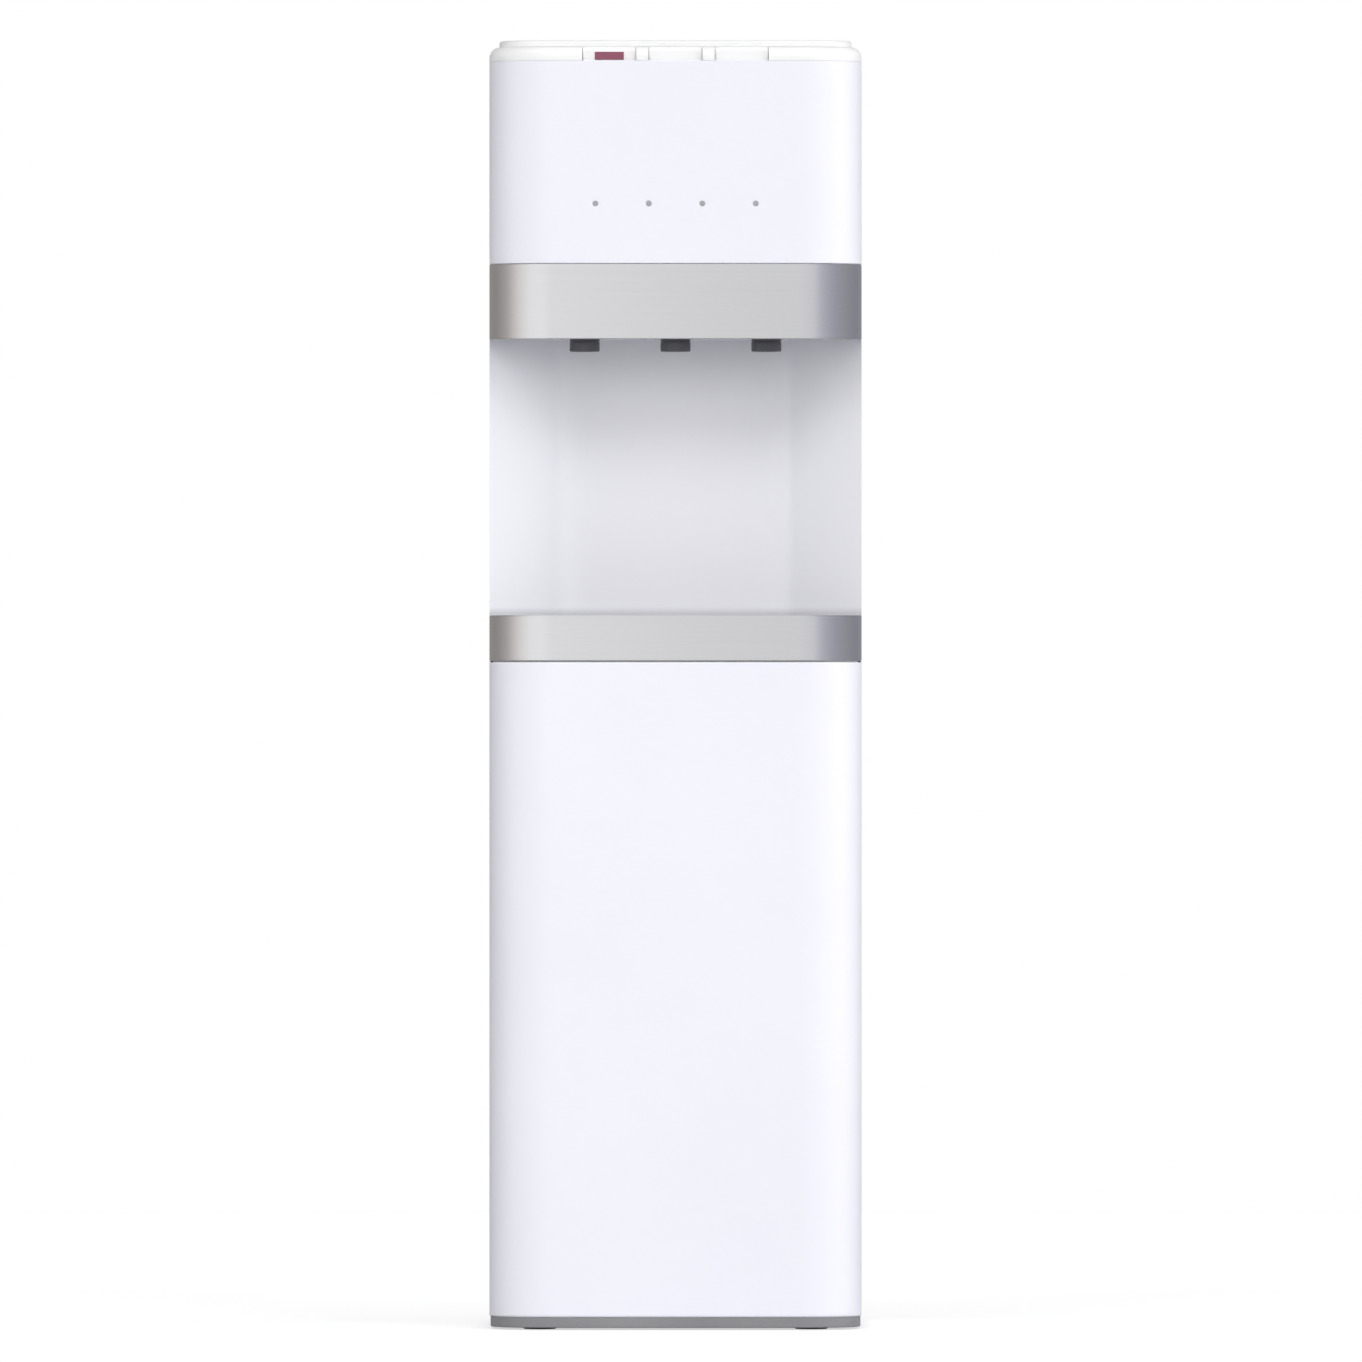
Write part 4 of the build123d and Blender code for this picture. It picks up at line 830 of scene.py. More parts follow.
class Pattern:
    """A geometry node tree for forms that repeat, and the piece made with it."""

    def __init__(self, name: str, inputs: dict) -> None:
        """Starts the tree with points, the named inputs and a material.

        Args:
            name: The tree's name.
            inputs: Each input's name, with its type and value.
        """
        self.tree = Tree(bpy.data.node_groups.new(name, "GeometryNodeTree"))
        self.tree.socket("Points", "Geometry", True)
        for label, (kind, value) in {**inputs, "Material": ("Material", None)}.items():
            self.tree.socket(label, kind, True, value)
        self.tree.socket("Geometry", "Geometry", False)
        self.inputs = self.tree.add("NodeGroupInput").outputs

    def close(self, geometry: Socket) -> None:
        """Ends the tree in Realize Instances and Set Material.

        Args:
            geometry: What the tree has made so far.
        """
        real = self.tree.add("GeometryNodeRealizeInstances", {"Geometry": geometry})
        dressed = self.tree.add(
            "GeometryNodeSetMaterial",
            {"Geometry": real.outputs["Geometry"], "Material": self.inputs["Material"]},
        )
        self.tree.ended({"Geometry": dressed.outputs["Geometry"]})

    def form(self) -> Socket:
        """Adds the form that is given as an object and returns its geometry."""
        info = self.tree.add("GeometryNodeObjectInfo", {"Object": self.inputs["Form"]})
        return info.outputs["Geometry"]

    def stand(self, form: Socket, **placing: Socket) -> None:
        """Puts a form on every point, with a Rotation or Scale, and ends the tree.

        Args:
            form: The form's geometry.
            **placing: The Rotation or Scale of each copy.
        """
        sockets = {"Points": self.inputs["Points"], "Instance": form, **placing}
        placed = self.tree.add("GeometryNodeInstanceOnPoints", sockets)
        self.close(placed.outputs["Instances"])

    def smoothed(self, mesh: Socket) -> Socket:
        """Shades a mesh smooth and returns it."""
        shaded = self.tree.add("GeometryNodeSetShadeSmooth", {"Geometry": mesh})
        return shaded.outputs["Geometry"]

    def make(
        self, name: str, points: list[Vector], edges: bool = False,
        reach: list[float] | None = None, **values: object,
    ) -> Piece:
        """Runs the tree on points and keeps the plain mesh.

        Args:
            name: The piece's name.
            points: The points that the forms sit on, or the path that they follow.
            edges: True to join the points in a line.
            reach: A length for each point, stored as the attribute reach.
            **values: Values of the tree's named inputs; a Form is removed afterwards.

        Returns:
            The finished piece.
        """
        lines = [(i, i + 1) for i in range(len(points) - 1)] if edges else []
        base = bpy.data.meshes.new(name)
        base.from_pydata(points, lines, [])
        if reach:
            base.attributes.new("reach", "FLOAT", "POINT").data.foreach_set("value", reach)
        piece = link(name, base)
        modifier = piece.modifiers.new("pattern", "NODES")
        modifier.node_group = self.tree.tree
        for item in self.tree.tree.interface.items_tree:
            if item.item_type == "SOCKET" and item.in_out == "INPUT" and item.name in values:
                modifier[item.identifier] = values[item.name]
        settle(piece)
        if "Form" in values:
            bpy.data.objects.remove(values["Form"])
        return piece


def instance_pattern(name: str) -> Pattern:
    """A tree that puts one Form on every point, turned at random by up to Turn from a Seed.

    Args:
        name: The tree's name.

    Returns:
        The pattern, with the inputs Form, Turn and Seed.
    """
    pattern = Pattern(
        name, {"Form": ("Object", None), "Turn": ("Float", 0.0), "Seed": ("Int", 7)}
    )
    tree, ends = pattern.tree, pattern.inputs
    form = pattern.form()
    low = tree.math("MULTIPLY", ends["Turn"], -1.0)
    turn = tree.add(
        "FunctionNodeRandomValue", {2: low, 3: ends["Turn"], "Seed": ends["Seed"]},
        data_type="FLOAT",
    )
    spin = tree.add("ShaderNodeCombineXYZ", {"Y": turn.outputs[1]})
    pattern.stand(form, Rotation=spin.outputs["Vector"])
    return pattern


def slat_pattern() -> Pattern:
    """A tree that lays a Form across each point, as long as the point's reach.

    Returns:
        The pattern, with the input Form.
    """
    pattern = Pattern("grille_slats", {"Form": ("Object", None)})
    tree = pattern.tree
    reach = tree.add("GeometryNodeInputNamedAttribute", {"Name": "reach"}, data_type="FLOAT")
    stretch = tree.add("ShaderNodeCombineXYZ", {"X": reach.outputs[0], "Y": 1.0, "Z": 1.0})
    pattern.stand(pattern.form(), Scale=stretch.outputs["Vector"])
    return pattern


def tube_pattern() -> Pattern:
    """A tree that bends a tube along a path, from its Bend, Radius and number of Sides.

    Returns:
        The pattern, with the inputs Bend, Radius and Sides.
    """
    pattern = Pattern(
        "bent_tube", {"Bend": ("Float", 0.01), "Radius": ("Float", 0.002), "Sides": ("Int", 12)}
    )
    tree, ends = pattern.tree, pattern.inputs
    line = tree.add("GeometryNodeMeshToCurve", {"Mesh": ends["Points"]}).outputs["Curve"]
    bent = tree.add(
        "GeometryNodeFilletCurve",
        {"Curve": line, "Radius": ends["Bend"], "Count": 8, "Limit Radius": True}, mode="POLY",
    )
    ring = tree.add(
        "GeometryNodeCurvePrimitiveCircle",
        {"Resolution": ends["Sides"], "Radius": ends["Radius"]},
    )
    tube = tree.add("GeometryNodeCurveToMesh", {
        "Curve": bent.outputs["Curve"], "Profile Curve": ring.outputs["Curve"],
        "Fill Caps": True,
    })
    pattern.close(pattern.smoothed(tube.outputs["Mesh"]))
    return pattern


def wire_pattern() -> Pattern:
    """A tree that stands a straight wire of a Length and Radius on each point.

    Returns:
        The pattern, with the inputs Length and Radius.
    """
    pattern = Pattern("upright_wires", {"Length": ("Float", 0.5), "Radius": ("Float", 0.0007)})
    rod = pattern.tree.add(
        "GeometryNodeMeshCylinder",
        {"Vertices": 8, "Radius": pattern.inputs["Radius"], "Depth": pattern.inputs["Length"]},
    )
    pattern.stand(pattern.smoothed(rod.outputs["Mesh"]))
    return pattern


# The cabinet's measures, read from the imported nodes


@dataclass(frozen=True)
class Plan:
    """Lines of the cabinet seen from above, and the sheet it is made of."""

    half: float
    front: float
    back: float
    wrap: float
    sill: float
    corner: float = 50 * MM
    wall: float = 2.5 * MM
    trim: float = 1.0 * MM
    sheet: float = 0.8 * MM
    alcove_back: float = -40 * MM
    alcove_half: float = 90 * MM
    alcove_corner: float = 32 * MM
    alcove_lip: float = 3 * MM
    arc_steps: int = 20

    @classmethod
    def from_frame(cls) -> "Plan":
        """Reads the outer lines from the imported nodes.

        Returns:
            The plan.
        """
        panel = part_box("lower_front_panel")
        return cls(
            half=panel[1].x, front=panel[0].y, back=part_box("rear_panel")[1].y,
            wrap=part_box("left_side_panel")[0].y,
            sill=cls.alcove_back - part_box("drip_grille")[1].y,
        )

    def wrap_path(self, inset: float = 0.0, rear: float | None = None) -> list[Vector]:
        """The line round the front, from the left rear end to the right one.

        Args:
            inset: How far the line lies inside the cabinet's outline.
            rear: Where it ends, or the line where the side panels begin.

        Returns:
            Points of the line, with the inside on its left.
        """
        end = self.wrap if rear is None else rear
        x, y = self.half - inset, self.front + inset
        corners = [(-x, end), (-x, y), (x, y), (x, end)]
        radius = self.corner - inset
        return rounded(corners, [0, radius, radius, 0], False, self.arc_steps, guard=1.5 * MM)

    def flare(self, inset: float) -> tuple[Vector, Vector]:
        """The alcove's right side wall, moved in: a point on it and its way to the back.

        Args:
            inset: How far the wall is moved in.

        Returns:
            The point, and the way as a unit vector.
        """
        low = Vector((self.half, self.wrap - self.alcove_lip))
        high = Vector((self.alcove_half, self.alcove_back))
        way = (high - low).normalized()
        return low + Vector((-way.y, way.x)) * inset, way

    def floor_corners(self, front_inset: float, back_inset: float) -> tuple[list, list]:
        """Corners of the alcove's floor, drawn in, and the radius of each.

        Args:
            front_inset: Inset from the front and the sides.
            back_inset: Inset from the flared sides and the back.

        Returns:
            The corners, from the front left one on anticlockwise, and their radii.
        """
        point, way = self.flare(back_inset)
        x, y = self.half - front_inset, self.front + front_inset
        side_y = point.y + (x - point.x) / way.x * way.y
        back = self.alcove_back - back_inset
        back_x = point.x + (back - point.y) / way.y * way.x
        corners = [(-x, y), (x, y), (x, side_y), (back_x, back), (-back_x, back), (-x, side_y)]
        front_radius = self.corner - front_inset
        back_radius = self.alcove_corner - back_inset
        return corners, [front_radius, front_radius, 0, back_radius, back_radius, 0]

    def floor_front(self, inset: float, shift: float = 0.0) -> list[Vector]:
        """The front line of the alcove's floor, from its left end to its right one.

        Args:
            inset: Inset from the front and the sides.
            shift: How far the line is moved in from there.

        Returns:
            Points of the line.
        """
        corners, radii = self.floor_corners(inset, self.sill)
        ends = [
            (x - shift if x > 0 else x + shift, y + shift if index in (0, 1) else y)
            for index, (x, y) in ((i, corners[i]) for i in (5, 0, 1, 2))
        ]
        return rounded(ends, [0, radii[0] - shift, radii[1] - shift, 0], False, self.arc_steps)


# Sub-assemblies


@dataclass
class FrontPanels:
    """The lower and upper white front mouldings."""

    plan: Plan
    edge: float = 0.9 * MM
    inner_edge: float = 0.4 * MM
    foot_edge: float = 2.2 * MM
    tongue: float = 8 * MM
    tongue_gap: float = 0.15 * MM
    ledge: float = 14 * MM
    lens_radius: float = 2.3 * MM
    lens_flange: float = 3.2 * MM
    lens_gap: float = 0.05 * MM
    flare: float = 0.5 * MM
    sink: float = 0.5 * MM
    lenses_count: int = 4
    round_steps: int = 32

    def shell(self, maker: Maker, low: float, high: float, foot: float) -> None:
        """Adds a front wall and the tongue behind the side panels.

        Args:
            maker: The mesh being made.
            low: Foot of the wall.
            high: Top of the wall.
            foot: Radius of its outer foot edge.
        """
        wall = self.plan.wall
        corners = [(0, low), (0, high), (wall, high), (wall, low)]
        radii = [foot, self.edge, self.inner_edge, 0]
        maker.sweep(self.plan.wrap_path(), rounded(corners, radii, steps=6, guard=0.6 * MM))
        behind = self.plan.sheet + self.tongue_gap
        path = self.plan.wrap_path(behind, self.plan.wrap + self.tongue)
        depth = wall - behind
        inner = [(0, low + wall), (0, high - wall), (depth, high - wall), (depth, low + wall)]
        for part in (path[:2], path[-2:]):
            maker.sweep(part, [Vector(point) for point in inner])

    def lower(self) -> Piece:
        """The tall plain panel, with the ledge that carries the tray shelf.

        Returns:
            The moulding.
        """
        low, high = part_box("lower_front_panel")
        maker = Maker()
        self.shell(maker, low.z, high.z, self.foot_edge)
        wall = self.plan.wall
        deep, top = wall + self.ledge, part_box("tray_shelf")[0].z
        inner = [(wall, top - wall), (wall, top), (deep, top), (deep, top - wall)]
        maker.sweep(self.plan.wrap_path(), [Vector(point) for point in inner])
        return maker.finish("lower_front_moulding")

    def upper(self) -> Piece:
        """The upper panel, with a flared hole for each lens.

        Returns:
            The moulding, with its holes cut.
        """
        low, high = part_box("upper_front_panel")
        maker = Maker()
        self.shell(maker, low.z, high.z, self.edge)
        piece = maker.finish("upper_front_moulding")
        cutter = Maker()
        front, hole = self.plan.front, self.lens_radius + self.lens_gap
        wide, through = hole + self.flare, front + 5 * MM
        for centre in self.lens_places():
            cutter.turn(centre, [
                (0, front - MM), (wide, front - MM), (wide, front - 0.001 * MM),
                (hole, front + self.sink), (hole, through), (0, through),
            ], self.round_steps, upright=False)
        return cut_holes(piece, cutter.finish("lens_holes"))

    def lens_places(self) -> list[Vector]:
        """Centres of the lenses.

        Returns:
            One point for each lens, from the left.
        """
        low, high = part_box("indicator_lenses")
        first = low.x + self.lens_flange
        step = (high.x - self.lens_flange - first) / (self.lenses_count - 1)
        z = (low.z + high.z) / 2
        return [Vector((first + step * i, 0, z)) for i in range(self.lenses_count)]

    def lenses(self) -> Piece:
        """Clear pins with a low dome in front.

        Returns:
            All the pins as one piece.
        """
        front, back = self.plan.front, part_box("indicator_lenses")[1].y
        radius = self.lens_radius
        maker = Maker()
        for centre in self.lens_places():
            maker.turn(centre, [
                (0, front + 0.15 * MM), (radius * 0.5, front + 0.2 * MM),
                (radius * 0.85, front + 0.38 * MM), (radius, front + 0.6 * MM),
                (radius, back), (0, back),
            ], self.round_steps, upright=False)
        return maker.finish("indicator_lens_pins")

    def build(self, wardrobe: Wardrobe) -> None:
        """Builds and dresses the front mouldings and the lenses.

        Args:
            wardrobe: Where the finishes come from.
        """
        wardrobe.fit(self.lower(), "cool_white_moulding", "cabinet", "lower_front_panel")
        wardrobe.fit(self.upper(), "cool_white_moulding", "cabinet", "upper_front_panel")
        wardrobe.fit(self.lenses(), "clear_lens", "cabinet", "indicator_lenses")
        wardrobe.dress_nodes("green_laminate", "indicator_board")


@dataclass
class SteelBands:
    """The two bent steel bands, over and under the alcove."""

    plan: Plan
    bend: float = 1.2 * MM
    cut_edge: float = 0.2 * MM
    inner_bend: float = 0.4 * MM
    lip: float = 9 * MM
    rim: float = 12 * MM
    hem: float = 3 * MM

    def channel(self, low: float, high: float, top: float, foot: float) -> list[Vector]:
        """Section of a bent strip with a lip turned in at each edge.

        Args:
            low: Foot of the band.
            high: Top of the band.
            top: Reach of the upper lip.
            foot: Reach of the lower lip.

        Returns:
            The closed section, as points (inset, z).
        """
        sheet, bend, cut, inner = self.plan.trim, self.bend, self.cut_edge, self.inner_bend
        corners = [
            (foot, low), (0, low), (0, high), (top, high),
            (top, high - sheet), (sheet, high - sheet), (sheet, low + sheet), (foot, low + sheet),
        ]
        radii = [cut, bend, bend, cut, cut, inner, inner, cut]
        return rounded(corners, radii, steps=5, guard=0.15 * MM)

    def head(self) -> Piece:
        """The band over the alcove.

        Returns:
            The band.
        """
        low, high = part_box("head_band")
        maker = Maker()
        section = self.channel(low.z, high.z, self.lip, self.hem)
        maker.sweep(self.plan.wrap_path(rear=high.y), section)
        return maker.finish("head_band_steel")

    def tray(self) -> Piece:
        """The band on the front of the drip tray, with its rim round the grille.

        Returns:
            The band, with its rim.
        """
        low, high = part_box("tray_band")
        maker = Maker()
        edge = self.plan.trim + self.cut_edge
        section = self.channel(low.z, high.z, edge, edge)
        maker.sweep(self.plan.wrap_path(rear=high.y), section)
        outer = self.plan.floor_front(0, self.plan.trim * 0.5)
        inner = self.plan.floor_front(self.rim)
        under = high.z - self.plan.trim
        maker.loft([
            [Vector((out.x, out.y, under)), Vector((into.x, into.y, under)),
             Vector((into.x, into.y, high.z)), Vector((out.x, out.y, high.z))]
            for out, into in zip(outer, inner)
        ])
        return maker.finish("tray_band_steel")

    def build(self, wardrobe: Wardrobe) -> None:
        """Builds and dresses both bands."""
        wardrobe.fit(self.head(), "brushed_trim_steel", "cabinet", "head_band")
        wardrobe.fit(self.tray(), "brushed_trim_steel", "drip_tray", "tray_band")


@dataclass
class Alcove:
    """The open recess, with its liner, drip tray, grille and outlets."""

    plan: Plan
    border: float = 7 * MM
    border_radii: tuple[float, ...] = (0.3 * MM, 0.8 * MM, 0.8 * MM, 0.3 * MM)
    least_radius: float = 1.0 * MM
    pitch: float = 8 * MM
    bar: float = 4.6 * MM
    bar_edge: float = 1.2 * MM
    bar_foot: float = 0.3 * MM
    bar_overlap: float = 0.6
    rib: float = 5 * MM
    rib_edge: float = 0.6 * MM
    rib_inset: float = 2 * MM
    rib_places: tuple[float, ...] = (-90 * MM, -45 * MM, 45 * MM, 90 * MM)
    outlet_bore: float = 4.5 * MM
    outlet_flute: float = 8 * MM
    skirt: float = 12.5 * MM
    neck: float = 10.8 * MM
    neck_bore: float = 8.5 * MM

    def grille(self, wardrobe: Wardrobe) -> Piece:
        """The lift-off grille: a rounded frame, cross ribs and a row of bars.

        Args:
            wardrobe: Where the bars' material comes from.

        Returns:
            Frame, ribs and bars as one piece.
        """
        low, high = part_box("drip_grille")
        corners, radii = self.plan.floor_corners(self.plan.half - high.x, self.plan.sill)
        outline = rounded(corners, [max(r, self.least_radius) for r in radii], steps=10)
        border = [(0, low.z), (0, high.z), (self.border, high.z), (self.border, low.z)]
        maker = Maker()
        maker.sweep(outline, rounded(border, self.border_radii, steps=4), closed=True)
        half, edge = self.rib / 2, self.rib_edge
        for x in self.rib_places:
            front, back = self.cross(corners, x)
            section = [
                (x - half, low.z), (x + half, low.z), (x + half, high.z - edge),
                (x + half - edge, high.z), (x - half + edge, high.z), (x - half, high.z - edge),
            ]
            ends = (front + self.rib_inset, back - self.rib_inset)
            maker.loft([[Vector((across, y, z)) for across, z in section] for y in ends])
        frame_piece = maker.finish("grille_frame")
        bars = self.bars(low.z, high.z, corners, wardrobe)
        return join("drip_grille_moulding", frame_piece, bars)

    def cross(self, corners: list[Flat], x: float) -> Flat:
        """Front and back edge of the grille at a place across.

        Args:
            corners: The grille's corners, from the front left one on anticlockwise.
            x: The place across.

        Returns:
            The Y of its front edge there, and of its back edge.
        """
        (x0, y0), (x1, y1) = corners[2], corners[3]
        back = y0 + (abs(x) - x0) / (x1 - x0) * (y1 - y0) if abs(x) > x1 else y1
        return corners[0][1], back

    def half_width(self, corners: list[Flat], y: float) -> float:
        """Half the grille's width at a place from front to back.

        Args:
            corners: The grille's corners, from the front left one on anticlockwise.
            y: The place from front to back.

        Returns:
            Half the width there.
        """
        x0, y0 = corners[1]
        radius = self.plan.corner - (self.plan.half - x0)
        reach = x0
        if y < y0 + radius:
            drop = y0 + radius - y
            reach = x0 - radius + math.sqrt(max(radius * radius - drop * drop, 0.0))
        (x1, y1), (x2, y2) = corners[2], corners[3]
        if y > y1:
            reach = min(reach, x1 + (y - y1) / (y2 - y1) * (x2 - x1))
        return reach

    def bars(self, low: float, high: float, corners: list[Flat], wardrobe: Wardrobe) -> Piece:
        """The row of bars, made with geometry nodes.

        Args:
            low: Underside of the bars.
            high: Top of the bars.
            corners: Corners of the grille.
            wardrobe: For the bars' material.

        Returns:
            The bars as one mesh.
        """
        half, foot, edge = self.bar / 2, self.bar_foot, self.bar_edge
        bar = Maker()
        profile = rounded(
            [(-half, 0), (half, 0), (half, high - low), (-half, high - low)],
            [foot, foot, edge, edge], steps=4,
        )
        bar.loft([[Vector((x, point.x, point.y)) for point in profile] for x in (-1, 1)])
        form = bar.finish("grille_bar")
        middle = (self.plan.front + self.plan.alcove_back) / 2
        rows = int((self.plan.alcove_back - self.plan.front) / self.pitch) + 1
        places, reaches = [], []
        for row in range(rows + 1):
            y = middle + (row - rows / 2) * self.pitch
            if corners[0][1] + self.border - half < y < corners[3][1] - self.border + half:
                places.append(Vector((0, y, low)))
                overlap = self.border * self.bar_overlap
                reaches.append(self.half_width(corners, y) - overlap)
        return slat_pattern().make(
            "grille_bars", places, reach=reaches, Form=form,
            Material=wardrobe.material("grey_grained_moulding"),
        )

    def outlets(self) -> Piece:
        """The three dark nozzles with a stepped mouth and a neck into the valves.

        Returns:
            The nozzles as one piece.
        """
        low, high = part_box("nozzles")
        r, z, top = self.skirt, low.z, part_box("alcove_liner")[1].z - self.plan.wall
        mouth = [(4.4, 1.6), (3.6, 0.4), (3.0, 0), (1.0, 0), (0.3, 0.3), (0, 1.0)]
        groove = [(0, 3.4), (0.5, 3.0), (0.5, 2.4), (0, 2.0)]
        profile = [
            (self.outlet_bore, z + mouth[0][1] * MM),
            *((r - inset * MM, z + rise * MM) for inset, rise in mouth),
            *((r - inset * MM, top - drop * MM) for inset, drop in groove),
            (r, top), (self.neck, top), (self.neck, high.z), (self.neck_bore, high.z),
            (self.outlet_bore, z + self.outlet_flute),
        ]
        maker = Maker()
        for tap in Tap:
            centre = Vector((tap.value * (high.x - r), (low.y + high.y) / 2, 0))
            maker.turn(centre, profile, steps=64)
        return maker.finish("outlet_nozzles")

    def build(self, wardrobe: Wardrobe) -> None:
        """Builds and dresses the alcove's pieces.

        Args:
            wardrobe: Where the finishes come from.
        """
        grille = self.grille(wardrobe)
        wardrobe.fit(grille, "grey_grained_moulding", "drip_grille", "drip_grille")
        wardrobe.fit(self.outlets(), "dark_grained_moulding", "cabinet", "nozzles")
        wardrobe.dress_nodes("liner_moulding", "alcove_liner")
        wardrobe.dress_nodes("grey_grained_moulding", "drip_tray")
        wardrobe.dress_nodes("natural_moulding", "tray_shelf")


@dataclass
class DeckTop:
    """The white top: deck, keys, child lock, lid, collar and probe."""

    plan: Plan
    key_front_edge: float = 5 * MM
    key_edge: float = 0.7 * MM
    key_steps: int = 28
    dish_depth: float = 1.12 * MM
    dish_side: float = 5 * MM
    dish_end: float = 3 * MM
    lid_corner: float = 34 * MM
    lid_thickness: float = 6 * MM
    lid_edge: float = 2.5 * MM
    lid_under_edge: float = 0.8 * MM
    lid_step: float = 0.7 * MM
    lid_border: float = 14 * MM
    collar_rim: float = 15.8 * MM
    plug_wall: float = 2.5 * MM
    plug_edges: Flat = (0.8 * MM, 0.5 * MM)

    def key(self, tap: Tap) -> Piece:
        """One push key with a rounded front, softened edges and a finger dish.

        Args:
            tap: The tap that the key opens.

        Returns:
            The key.
        """
        low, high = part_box(tap.key)
        front, edge, along = self.key_front_edge, self.key_edge, self.key_steps
        flat = high.y - edge - (low.y + front)
        profile = [(low.y, low.z), (low.y, high.z - front)]
        profile += [(low.y + front * a, high.z - front * b) for a, b in quarter(8)[1:]]
        profile += [(low.y + front + flat * i / along, high.z) for i in range(1, along + 1)]
        profile += [(high.y - edge * b, high.z - edge * a) for a, b in quarter(4)[1:]]
        profile.append((high.y, low.z))
        middle = Vector(((low.x + high.x) / 2, (low.y + front + high.y) / 2))
        half = (high.x - low.x) / 2
        rings = []
        for x, sink in self.stations(half):
            ring = []
            for y, z in profile:
                lowered = z - sink if z > low.z + 0.1 * MM else z
                beside = x / (half - self.dish_side)
                away = math.hypot(beside, (y - middle.y) / (flat / 2 - self.dish_end))
                if z > high.z - 0.01 * MM and away < 1:
                    lowered -= self.dish_depth * (1 - away * away) ** 2
                ring.append(Vector((middle.x + x, y, lowered)))
            rings.append(ring)
        maker = Maker()
        maker.loft(rings)
        return maker.finish(f"{tap.key}_cap")

    def stations(self, half: float) -> list[Flat]:
        """Places across a key and how far its upper edge is rounded down at each.

        Args:
            half: Half the key's width.

        Returns:
            Pairs of a place across and the fall of the edge there.
        """
        edge, runs = self.key_edge, 16
        rounds = [(half - edge * rise, edge * inward) for inward, rise in quarter(4)]
        flats = [((half - edge) * i / runs, 0.0) for i in range(1 - runs, runs)]
        return [(-x, sink) for x, sink in reversed(rounds)] + flats + rounds

    def lid(self) -> Piece:
        """The flat lid with a soft step inside its border and the ring that centres it.

        Returns:
            The lid.
        """
        low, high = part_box("lid")
        plate, step, border = high.z - self.lid_thickness, self.lid_step, self.lid_border
        levels = [(self.lid_edge + 20 * MM, plate)]
        levels += edge_arc(plate, self.lid_under_edge, False)
        levels += edge_arc(high.z, self.lid_edge, True, 6)
        fall = [(-1.2, 0), (0, 0), (0.6, 0.15), (1.6, 0.85), (2.4, 1), (4, 1), (12, 1)]
        levels += [(border + inset * MM, high.z - step * share) for inset, share in fall]
        rings = []
        for inset, z in levels:
            x0, y0, x1, y1 = low.x + inset, low.y + inset, high.x - inset, high.y - inset
            radius = max(self.lid_corner - inset, 0.2 * MM)
            ring = rounded([(x0, y0), (x1, y0), (x1, y1), (x0, y1)], [radius] * 4, steps=10)
            rings.append([Vector((point.x, point.y, z)) for point in ring])
        maker = Maker()
        maker.loft(rings)
        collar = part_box("bottle_collar")
        radius = (collar[1].x - collar[0].x) / 2 - self.collar_rim
        inner = radius - self.plug_wall
        outside, inside = self.plug_edges
        maker.turn((collar[0] + collar[1]) / 2, [
            (inner, plate), (radius, plate), (radius, low.z + outside),
            (radius - outside, low.z), (inner + inside, low.z), (inner, low.z + inside),
        ], steps=96)
        return maker.finish("well_lid")

    def build(self, wardrobe: Wardrobe) -> None:
        """Builds and dresses the top.

        Args:
            wardrobe: Where the finishes come from.
        """
        for tap in Tap:
            wardrobe.fit(self.key(tap), "white_key_moulding", tap.key, tap.key)
        wardrobe.fit(self.lid(), "lid_moulding", "lid", "lid")
        wardrobe.dress_nodes("raspberry_moulding", "child_lock")
        wardrobe.dress_nodes("bright_white_moulding", "top_deck")
        wardrobe.dress_nodes("natural_moulding", "bottle_collar", "piercing_probe")


